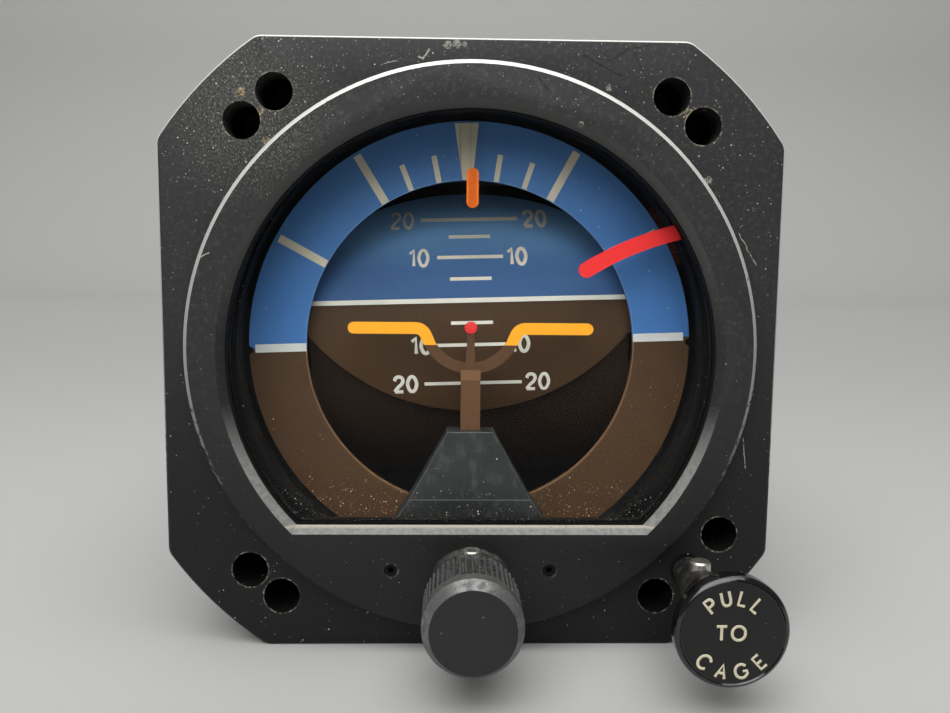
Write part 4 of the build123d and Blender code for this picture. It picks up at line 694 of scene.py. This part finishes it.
def on_drum(shape, angle):
    """Wraps a flat shape, drawn in X and Z about the origin, onto the drum at an angle."""
    for cut in (-1.2, -0.6, 0.0, 0.6, 1.2):
        split(shape, (0, 0, cut), (0, 0, 1))
    for corner in shape.verts:
        around = radians(angle) + corner.co.z / (drum_radius * cos(radians(angle)))
        out = drum_radius - corner.co.y
        corner.co.y = pitch_axis_depth - out * cos(around)
        corner.co.z = out * sin(around)
    bmesh.ops.transform(shape, matrix=Matrix.Scale(mm, 4) @ drum_print, verts=shape.verts)
    return shape


def pitch_line(angle, half_width, thickness):
    shape = bmesh.new()
    bmesh.ops.create_cube(shape, size=1.0)
    bmesh.ops.scale(shape, vec=(2 * half_width, 1.5 * ink, thickness), verts=shape.verts)
    return on_drum(shape, angle)


straight, curved, loop = "straight", "curved", "loop"
letter_forms = {
    "0": [
        (loop, ((0, 0.5), (0.24, 0.24), (0.24, -0.24), (0, -0.5), (-0.24, -0.24), (-0.24, 0.24)))
    ],
    "1": [(straight, ((-0.2, 0.27), (0.05, 0.5), (0.05, -0.5)))],
    "2": [
        (curved, (
            (-0.27, 0.24), (-0.17, 0.44), (0.03, 0.5), (0.25, 0.36), (0.23, 0.1), (-0.05, -0.2),
            (-0.27, -0.48),
        )),
        (straight, ((-0.27, -0.5), (0.27, -0.5))),
    ],
    "P": [
        (straight, ((-0.25, -0.5), (-0.25, 0.5), (0.04, 0.5))),
        (curved, ((0.04, 0.5), (0.22, 0.43), (0.29, 0.24), (0.22, 0.05), (0.04, -0.02))),
        (straight, ((0.04, -0.02), (-0.25, -0.02))),
    ],
    "U": [
        (straight, ((-0.29, 0.5), (-0.29, -0.2))),
        (curved, ((-0.29, -0.2), (-0.2, -0.42), (0, -0.5), (0.2, -0.42), (0.29, -0.2))),
        (straight, ((0.29, -0.2), (0.29, 0.5))),
    ],
    "L": [(straight, ((-0.22, 0.5), (-0.22, -0.5), (0.26, -0.5)))],
    "T": [(straight, ((-0.36, 0.5), (0.36, 0.5))), (straight, ((0, 0.5), (0, -0.5)))],
    "O": [
        (loop, (
            (0, 0.5), (0.33, 0.36), (0.46, 0), (0.33, -0.36), (0, -0.5), (-0.33, -0.36),
            (-0.46, 0), (-0.33, 0.36),
        )),
    ],
    "C": [
        (curved, (
            (0.36, 0.33), (0.05, 0.5), (-0.3, 0.36), (-0.43, 0), (-0.3, -0.36), (0.05, -0.5),
            (0.36, -0.33),
        )),
    ],
    "A": [
        (straight, ((-0.34, -0.5), (0, 0.5), (0.34, -0.5))),
        (straight, ((-0.21, -0.14), (0.21, -0.14))),
    ],
    "G": [
        (curved, (
            (0.36, 0.33), (0.05, 0.5), (-0.3, 0.36), (-0.43, 0), (-0.3, -0.36), (0.05, -0.5),
            (0.38, -0.3),
        )),
        (straight, ((0.38, -0.3), (0.38, -0.04), (0.1, -0.04))),
    ],
    "E": [
        (straight, ((0.27, 0.5), (-0.24, 0.5), (-0.24, -0.5), (0.27, -0.5))),
        (straight, ((-0.24, 0), (0.18, 0))),
    ],
}


def lettering(words, height, weight, spacing=0.0):
    """Letters of single round strokes, as a pantograph cuts them, centred on the origin."""
    curve = bpy.data.curves.new("lettering", "CURVE")
    curve.dimensions = "3D"
    curve.bevel_depth = weight / 2
    curve.bevel_resolution = 2
    curve.resolution_u = 6
    curve.use_fill_caps = True
    reach = height - weight
    for place, letter in enumerate(words):
        offset = (place - (len(words) - 1) / 2) * spacing
        for kind, points in letter_forms[letter]:
            stroke = curve.splines.new("BEZIER")
            stroke.bezier_points.add(len(points) - 1)
            stroke.use_cyclic_u = kind == loop
            handle = "VECTOR" if kind == straight else "AUTO"
            for knot, (x, z) in zip(stroke.bezier_points, points):
                knot.handle_left_type = knot.handle_right_type = handle
                knot.co = (offset + x * reach, 0, z * reach)
    holder = bpy.data.objects.new("lettering", curve)
    scene.collection.objects.link(holder)
    made = bpy.data.meshes.new_from_object(holder)
    shape = bmesh.new()
    shape.from_mesh(made)
    bpy.data.objects.remove(holder)
    bpy.data.curves.remove(curve)
    bpy.data.meshes.remove(made)
    bmesh.ops.scale(shape, verts=shape.verts, vec=(1, 2 * ink / weight, 1))
    return shape


def angle_for(height):
    """Angle round the drum at which a line shows at that height, in mm."""
    return degrees(asin(height / drum_radius))


white_ink = print_ink("white_ink", tint(214, 212, 202)).done()
grey_ink = print_ink("warm_grey_ink", tint(212, 206, 188)).done()
ten_up, twenty_up, ten_down, twenty_down = 13.25, 19.17, -0.05, -6.05
scale_up = [(9.95, 3.2), (ten_up, 5.1), (16.4, 3.25), (twenty_up, 7.65)]
scale_down = [(3.3, 3.2), (ten_down, 5.5), (twenty_down, 7.5)]
scale_line, numeral_height, numeral_weight = 0.5, 2.95, 0.55
upper = [pitch_line(angle_for(height), half, scale_line) for height, half in scale_up]
lower = [pitch_line(angle_for(height), half, scale_line) for height, half in scale_down]
for scale, height, words, spacing, places in (
    (upper, ten_up, "10", 1.6, (-8.05, 7.15)), (upper, twenty_up, "20", 2.05, (-10.6, 10.45)),
    (lower, ten_down, "10", 1.6, (-7.95, 7.1)), (lower, twenty_down, "20", 2.05, (-10.45, 9.95)),
):
    for across in places:
        number = lettering(words, numeral_height, numeral_weight, spacing)
        moved(number, (across, 0, 0))
        scale.append(on_drum(number, angle_for(height)))
piece(joined(*upper), "climb_scale", "gyro", grey_ink)
piece(joined(*lower), "dive_scale", "gyro", white_ink)
horizon = pitch_line(angle_for(horizon_height), half_span, horizon_line)
piece(horizon, "horizon_line", "gyro", white_ink)

# ---------------------------------------- gyro and gimbals
# The rotor spins in a cast case that hangs on trunnions in a forked roll gimbal. Its
# castings are grey aluminium, and the rotor, bearings and shafts are steel and brass.

gimbal = Finish("gimbal_casting", tint(150, 152, 154), 0.5, 0.7, 1200.0, 0.00003).done()
give(gimbal, "fork_gimbal", "rotor_case", "rotor_case_cap", "bearing_bulkhead")
steel = Finish("machined_steel", tint(176, 178, 180), 0.3, 1.0, 1800.0, 0.000006, 0.15)
steel.rubs(tint(120, 121, 122), 900.0, (1, 0.1, 1), 0.5, 0.7, 0.5)
steel = steel.done()
brass = Finish("turned_brass", tint(188, 156, 92), 0.34, 1.0, 1800.0, 0.000006, 0.18).done()
copper = Finish("enamelled_wire", tint(118, 62, 34), 0.35, 0.6, 1500.0, 0.00001, 0.2)
windings = copper.noise(1.0, 0.0, stretch=(0.1, 0.1, 5200))
copper.cover(copper.ramp(windings, 0.48, 0.56), tint(70, 34, 18))
copper = copper.done()

give(
    steel, "trunnions", "pitch_bearings", "roll_bearings", "rotor_bearings", "roll_shaft",
    "heart_cam", "stator",
)
give(brass, "gyro_rotor", "slip_rings")

# ---------------------------------------- symbol, gears and pedestal
# The aircraft symbol is a stamped plate on a carrier that a rack and two small gears raise
# and lower. A folded black cover hides the gears, and the symbol's stem comes up behind it.

symbol_paint = Finish(
    "symbol_paint", tint(79, 52, 29), 0.5, scale=2400.0, relief=0.000001, patches=0.08, shine=0.3
)
on_wing = symbol_paint.times(
    symbol_paint.math("GREATER_THAN", symbol_paint.z, 0.45 * mm),
    symbol_paint.math("GREATER_THAN", symbol_paint.math("ABSOLUTE", symbol_paint.x), 2.5 * mm),
)
symbol_paint.cover(on_wing, tint(238, 158, 26))
give(symbol_paint.done(), "aircraft_symbol")
carrier_paint = Finish(
    "carrier_paint", tint(84, 57, 33), 0.5, scale=2400.0, relief=0.000001, patches=0.08, shine=0.3
)
# Painted highlight: the top of the carrier's neck is made paler brown.
neck_top_highlight = carrier_paint.math("GREATER_THAN", carrier_paint.z, -4.65 * mm)
carrier_paint.cover(neck_top_highlight, tint(110, 79, 50), 0.8)
give(carrier_paint.done(), "symbol_carrier")

dot_radius, dot_height, dot_rounding, dot_up = 0.94, 0.3, 0.18, 3.0


def turned(shape, matrix):
    bmesh.ops.rotate(shape, verts=shape.verts, matrix=matrix)


dot = bmesh.new()
bmesh.ops.create_circle(dot, cap_ends=True, segments=40, radius=dot_radius)
drawn_out(dot, bmesh.ops.extrude_face_region(dot, geom=dot.faces[:]), (0, 0, dot_height))
faced_out(dot)
rim = [e for e in dot.edges if all(v.co.z > dot_height / 2 for v in e.verts)]
bmesh.ops.bevel(
    dot, geom=rim, offset=dot_rounding, affect="EDGES", segments=3, profile=0.5, material=-1
)
symbol_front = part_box("aircraft_symbol")[0].y / mm
turned(dot, facing_front)
moved(dot, (0, symbol_front + 0.05, dot_up))
in_metres(dot)
dot_red = Finish(
    "dot_red", tint(206, 32, 34), 0.45, scale=2600.0, relief=0.000005, patches=0.1
).done()
piece(dot, "symbol_dot", "symbol", dot_red)

pedestal_black = Finish(
    "pedestal_black", tint(31, 34, 34), 0.4, scale=1800.0, relief=0.000001, patches=0.3, shine=0.3
)
pedestal_black.settled(-0.0195, -0.0245, 0.02, 0.3, tint(206, 200, 184), tint(190, 184, 168))
shaded = pedestal_black.ramp(pedestal_black.z, -0.0236, -0.025)
pedestal_black.cover(shaded, tint(16, 18, 18), 0.7)
pedestal_black.rubs(tint(66, 68, 66), 700.0, (1, 1, 0.5), 0.5, 0.7, 0.5)
pedestal_black = pedestal_black.done()
pedestal_edge = Finish(
    "pedestal_edge", tint(78, 85, 84), 0.45, scale=1800.0, relief=0.000002, patches=0.3
).done()
cover_shape, cover_edges = broken_edges("pedestal_cover", 0.08 * mm, 5)
cover_edges = set(cover_edges)
for face in cover_shape.faces:
    face.material_index = 1 if face in cover_edges else 0
pedestal = piece(cover_shape, "pedestal", "case", pedestal_black, pedestal_edge, sharp=4)
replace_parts(pedestal, "pedestal_cover")

give(steel, "trim_shaft", "trim_shaft_clip")
give(brass, "trim_bushing", "trim_pinion", "idler_gear")

# ---------------------------------------- bank pointer
# A small metal bar, painted orange, on the end of a clear acrylic strip. The strip is fixed
# to the black ring round the dial and hangs over it, so that the bar points at the marks.

pointer_paint = Finish(
    "pointer_orange", tint(214, 104, 12), 0.5, scale=2400.0, relief=0.000002, patches=0.08,
    shine=0.2,
)
pointer_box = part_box("bank_pointer")
pointer_middle = (pointer_box[0].x + pointer_box[1].x) / 2
# Painted highlight: the middle of the bar is darkened and its edges stay paler, like light on a
# rounded bar.
off_middle = pointer_paint.math("SUBTRACT", pointer_paint.x, pointer_middle)
off_middle = pointer_paint.math("ABSOLUTE", off_middle)
pointer_paint.cover(pointer_paint.ramp(off_middle, 0.62 * mm, 0.5 * mm), tint(184, 76, 10), 0.8)
give(pointer_paint.done(), "bank_pointer")
clear = clear_sheet(
    "clear_acrylic", 0.02, 1.2, 300.0, 2.0, tint(240, 240, 238), tint(250, 250, 250)
)
give(clear, "pointer_strip")
nodes["pointer_strip"].visible_shadow = False

# ---------------------------------------- warning flag
# A curved arm of thin sheet, painted bright red, on the shaft of a small moving-coil motor.
# It stands before the dial whenever the gyro has no power.

flag_paint = Finish(
    "flag_red_paint", tint(218, 38, 38), 0.5, scale=2400.0, relief=0.000002, patches=0.06, shine=0.3
)
give(flag_paint.done(), "warning_flag")
give(steel, "flag_shaft")
give(copper, "flag_coil")

# ---------------------------------------- knobs
# The trim knob is turned aluminium with a fine straight knurl, anodised black. The cage knob
# is glossy black plastic on a worn neck, with a printed label set into its face.

trim_knob_z, trim_face = -31.4, -18.6
rim_start, rim_full, crest_start, crest_full = 5.36, 5.44, 6.12, 6.3
trim = Finish("trim_knob_black", tint(30, 31, 32), 0.42, 0.0, 1600.0, 0.000004, 0.2, 0.4)
from_axis = trim.math("POWER", trim.math("ADD", trim.z, -trim_knob_z * mm), 2.0)
from_axis = trim.math("ADD", trim.math("POWER", trim.x, 2.0), from_axis)
from_axis = trim.math("POWER", from_axis, 0.5)
wear = trim.noise(1100.0, 5.0, 0.7)
for start, end in (
    ((-2.2, -28.4), (-1.6, -27.2)), ((1.4, -29.4), (3.2, -27.6)),
    ((-3.6, -33.6), (0.6, -35.2)), ((0.6, -35.2), (1.9, -36.1)),
):
    trim.stroke(start, end, 0.1, tint(20, 20, 21), 0.7)
on_face = trim.math("LESS_THAN", trim.y, trim_face * mm)
rim_ring = trim.times(on_face, trim.ramp(from_axis, rim_start * mm, rim_full * mm))
behind_rim = trim.math("GREATER_THAN", trim.y, trim_face * mm)
crests = trim.times(behind_rim, trim.ramp(from_axis, crest_start * mm, crest_full * mm))
# Wear with painted highlight: bare metal on the rim and crests is kept mostly to the top of the
# knob.
top_wear_and_highlight = trim.ramp(trim.z, -0.0365, -0.0275, 0.3, 1.0)
held = trim.times(trim.ramp(wear, 0.36, 0.6, 0.35, 1.0), top_wear_and_highlight)
bare_metal_and_highlight = trim.times(trim.math("ADD", rim_ring, crests), held)
trim.cover(bare_metal_and_highlight, tint(134, 135, 133))
trim.roughness = trim.ramp(bare_metal_and_highlight, 0.0, 1.0, 0.42, 0.32)
trim.tree.links.new(trim.times(bare_metal_and_highlight, 0.75), trim.shader.inputs["Metallic"])
# The knurl is made mottled and paler towards the top of the knob.
mottled_pale_top = trim.times(trim.ramp(trim.z, -0.0285, -0.0258), trim.ramp(wear, 0.42, 0.58))
trim.cover(trim.times(mottled_pale_top, behind_rim), tint(98, 98, 95), 0.6)
trim.dust(tint(120, 120, 116), 2600.0, 0.012)
give(trim.done(), "trim_knob")

gloss = Finish("cage_knob_black", tint(12, 12, 13), 0.1, 0.0, 1200.0, 0.000001, 0.15, 0.8)
neck = gloss.ramp(gloss.y, -0.0145, -0.011)
cage_wear = gloss.ramp(gloss.noise(500.0, 4.0, 0.7), 0.45, 0.6)
gloss.cover(gloss.times(neck, cage_wear), tint(84, 78, 68), 0.4)
gloss.roughness = gloss.ramp(neck, 0.0, 1.0, 0.1, 0.55)
give(gloss.done(), "cage_knob")

knob_x, knob_z = cage_hole
label_face, label_radius, label_sheet = -21.8, 6.3, 0.08
label_black = Finish(
    "label_black", tint(28, 28, 28), 0.45, scale=1700.0, relief=0.000005, patches=0.2, shine=0.3
)
label_black = label_black.dust(tint(110, 108, 102), 2600.0, 0.03).done()
label = bmesh.new()
bmesh.ops.create_circle(label, cap_ends=True, segments=96, radius=label_radius)
bmesh.ops.solidify(label, geom=label.faces[:], thickness=label_sheet)
faced_out(label)
turned(label, facing_front)
label_back = max(v.co.y for v in label.verts)
seat = (knob_x, label_face - label_back + 0.02, knob_z)
moved(label, seat)
in_metres(label)
piece(label, "cage_label", "cage", label_black)

letter_height, letter_weight = 2.1, 0.36


def round_words(words, radius, centre, spread, upright):
    """Letters along an arc: upright ones read along the top, the others along the bottom."""
    letters = []
    for place, letter in enumerate(words):
        offset = (place - (len(words) - 1) / 2) * spread
        angle = centre + (offset if upright else -offset)
        shape = lettering(letter, letter_height, letter_weight)
        moved(shape, (0, 0, radius if upright else -radius))
        turn = Matrix.Rotation(radians(angle if upright else angle - 180), 3, "Y")
        turned(shape, turn)
        letters.append(shape)
    return letters


cream_letters = print_ink("label_cream_ink", tint(206, 198, 172)).done()
words = round_words("PULL", 4.45, 0, 26.5, True) + round_words("CAGE", 4.95, 180, 28.5, False)
middle_word = lettering("TO", letter_height, letter_weight, 2.1)
moved(middle_word, (-0.35, 0, 0))
words.append(middle_word)
words = joined(*words)
moved(words, (knob_x, label_face - 0.06, knob_z))
in_metres(words)
piece(words, "cage_label_words", "cage", cream_letters)

give(steel, "cage_rod", "cage_spring", "cage_spring_clip", "cage_plunger", "plunger_spring")
give(brass, "plunger_guide")
bright_screw = Finish("plated_screw", tint(200, 198, 190), 0.32, 0.9, 1500.0, 0.00001, 0.25).done()
give(bright_screw, "trim_set_screw", "cage_set_screw")

# ---------------------------------------- case
# A spun aluminium can, painted black, slides over the works and is screwed to the bezel and
# to a dished rear cover that carries the round connector.

case_paint = Finish(
    "case_black_paint", tint(44, 46, 47), 0.5, scale=1300.0, relief=0.00003, patches=0.2
)
case_paint.dust(tint(130, 130, 124), 2200.0, 0.03)
case_paint.rubs(tint(74, 75, 74), 60.0, (1, 0.12, 1), 0.55, 0.72, 0.4)
case_paint.rubs(tint(22, 22, 23), 240.0, (1, 0.2, 1), 0.56, 0.7, 0.5)
case_paint = case_paint.done()
plating = Finish("connector_plating", tint(122, 124, 104), 0.4, 0.7, 1500.0, 0.00001, 0.25).done()
insert_rubber = Finish("insert_rubber", tint(30, 30, 31), 0.6, scale=2000.0, relief=0.00001).done()
board_green = Finish(
    "board_green", tint(38, 92, 58), 0.4, scale=900.0, relief=0.00001, patches=0.35
).done()
give(case_paint, "cage_tunnel", "housing_can", "rear_cover")

head_radius, shank_radius, slot_width, slot_depth = 1.9, 1.08, 0.45, 0.4
flush_head, pan_head = (0.9, 0.12), (1.2, 0.5)


def slotted_screw(head, length, axis, place):
    """A screw with a slot cut in its head; place is the top of the head and axis points out."""
    shape = bmesh.new()
    head_height, rounding = head
    crown = head_radius - rounding
    outline = [(0, 0), (crown, 0)]
    for step in (30, 60, 90):
        turn = radians(step)
        outline.append((crown + rounding * sin(turn), rounding * cos(turn) - rounding))
    outline += [(head_radius, -head_height), (shank_radius, -head_height)]
    outline += [(shank_radius, -length), (0, -length)]
    rim = [shape.verts.new((radius, 0, height)) for radius, height in outline]
    line = [shape.edges.new(pair) for pair in zip(rim, rim[1:])]
    bmesh.ops.spin(
        shape, geom=rim + line, cent=(0, 0, 0), axis=(0, 0, 1), angle=radians(360), steps=28,
        use_merge=True, use_duplicate=False,
    )
    bmesh.ops.remove_doubles(shape, verts=shape.verts, dist=0.001)
    half_slot, reach = slot_width / 2, crown - 0.15
    split(shape, (half_slot, 0, 0), (1, 0, 0))
    split(shape, (-half_slot, 0, 0), (1, 0, 0))
    split(shape, (0, reach, 0), (0, 1, 0))
    split(shape, (0, -reach, 0), (0, 1, 0))
    faced_out(shape)
    slot = []
    for face in shape.faces:
        x, y, z = face.calc_center_median()
        if z > -0.01 and abs(x) < half_slot and abs(y) < reach:
            slot.append(face)
    drawn_out(shape, bmesh.ops.extrude_face_region(shape, geom=slot), (0, 0, -slot_depth))
    turn = (place[0] * 37 + place[1] * 11 + place[2] * 23) % 180
    turned(shape, Matrix.Rotation(radians(turn), 3, "Z"))
    stand = Vector(axis).to_track_quat("Z", "Y").to_matrix()
    turned(shape, stand)
    moved(shape, place)
    in_metres(shape)
    return shape


can_seat, tunnel_seat, backward = 39.1, 42.3, (0, 1, 0)
flush, raised = [], []
for depth in (8.5, 88.0, 136.0):
    for angle in range(30, 390, 60):
        out = Vector((cos(radians(angle)), 0, sin(radians(angle))))
        place = out * can_seat + Vector((0, depth, 0))
        flush.append(slotted_screw(flush_head, 3.0, out, place))
for depth in (24.0, 68.0):
    for angle in (-30.5, -59.5):
        out = Vector((cos(radians(angle)), 0, sin(radians(angle))))
        place = out * tunnel_seat + Vector((0, depth, 0))
        raised.append(slotted_screw(pan_head, 4.5, out, place))
for x, z in ((-1, -1), (-1, 1), (1, -1), (1, 1)):
    raised.append(slotted_screw(pan_head, 6.0, backward, (10 * x, 142.6, 10 * z)))
    raised.append(slotted_screw(pan_head, 6.7, backward, (20.5 * x, 120.8, 20.5 * z)))
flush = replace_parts(piece(joined(*flush), "flush_screws", "case", steel), "can_screws")
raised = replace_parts(piece(joined(*raised), "raised_screws", "case", steel), "pan_head_screws")
give(plating, "connector_shell")
give(insert_rubber, "connector_insert", "brush_block")
give(board_green, "circuit_board")
give(brass, "board_posts", "connector_pins")

# ---------------------------------------- studio
# A pale floor that curves up into a backdrop. Soft lamps hang overhead, in front at the
# upper left and over the backdrop, with a weak sky, and the camera is close to the window.

stage_white = bpy.data.materials.new("stage_white")
stage_white.use_nodes = True
stage_shader = stage_white.node_tree.nodes["Principled BSDF"]
stage_shader.inputs["Base Color"].default_value = tint(176, 176, 174)
stage_shader.inputs["Roughness"].default_value = 0.9
floor_half, floor_shift, wall_height, bend_radius = 3.0, -1.7, 1.6, 0.35
stage = bmesh.new()
bmesh.ops.create_grid(stage, x_segments=1, y_segments=1, size=floor_half)
moved(stage, (0, floor_shift, solid_box[0][2]))
back = [e for e in stage.edges if all(v.co.y > 1.0 for v in e.verts)]
drawn_out(stage, bmesh.ops.extrude_edge_only(stage, edges=back), (0, 0, wall_height))
bend = [e for e in stage.edges if all(v.co.y > 1.0 and v.co.z < 0.1 for v in e.verts)]
bmesh.ops.bevel(
    stage, geom=bend, offset=bend_radius, affect="EDGES", segments=12, profile=0.5, material=-1
)
sweep_mesh = bpy.data.meshes.new("studio_sweep")
stage.to_mesh(sweep_mesh)
stage.free()
sweep_mesh.materials.append(stage_white)
sweep_mesh.shade_smooth()
sweep = bpy.data.objects.new("studio_sweep", sweep_mesh)
scene.collection.objects.link(sweep)


def soft_light(name, place, aim, width, depth, watts):
    """A rectangular lamp at a place, turned to the point it is aimed at."""
    lamp = bpy.data.lights.new(name, "AREA")
    lamp.shape = "RECTANGLE"
    lamp.size, lamp.size_y, lamp.energy = width, depth, watts
    holder = bpy.data.objects.new(name, lamp)
    holder.location = place
    holder.rotation_euler = (Vector(aim) - Vector(place)).to_track_quat("-Z", "Y").to_euler()
    scene.collection.objects.link(holder)


soft_light("overhead", (0.0, -0.10, 0.30), (0, 0.01, 0), 0.45, 0.3, 1.0)
soft_light("front", (-0.15, -0.62, 0.42), (0, 0, 0), 0.8, 0.45, 2.45)
soft_light("backdrop", (0.0, 0.45, 1.1), (0, 1.3, 0.35), 1.6, 0.4, 9.0)
sun = bpy.data.lights.new("soft_sky", "SUN")
sun.energy, sun.angle = 0.95, radians(55)
sun_holder = bpy.data.objects.new("soft_sky", sun)
sun_holder.rotation_euler = (radians(38), 0, radians(-12))
scene.collection.objects.link(sun_holder)

world = bpy.data.worlds.new("room")
scene.world = world
world.use_nodes = True
seen = world.node_tree.nodes.new("ShaderNodeLightPath").outputs["Is Camera Ray"]
tone = laid_over(world.node_tree, seen, (0.14, 0.14, 0.14, 1), (0.5, 0.5, 0.5, 1))
world.node_tree.links.new(tone, world.node_tree.nodes["Background"].inputs["Color"])
world.node_tree.nodes["Background"].inputs["Strength"].default_value = 1.0

scene.view_settings.view_transform = "Standard"
lens = bpy.data.cameras.new("camera")
lens.sensor_width = 36.0
lens.lens = 34.105
lens.clip_start = 0.005
camera = bpy.data.objects.new("camera", lens)
camera.location = (-0.0029136, -0.1251894, 0.0142647)
camera.rotation_euler = (radians(83.28091), radians(-0.55852), radians(-1.47732))
scene.collection.objects.link(camera)
scene.camera = camera
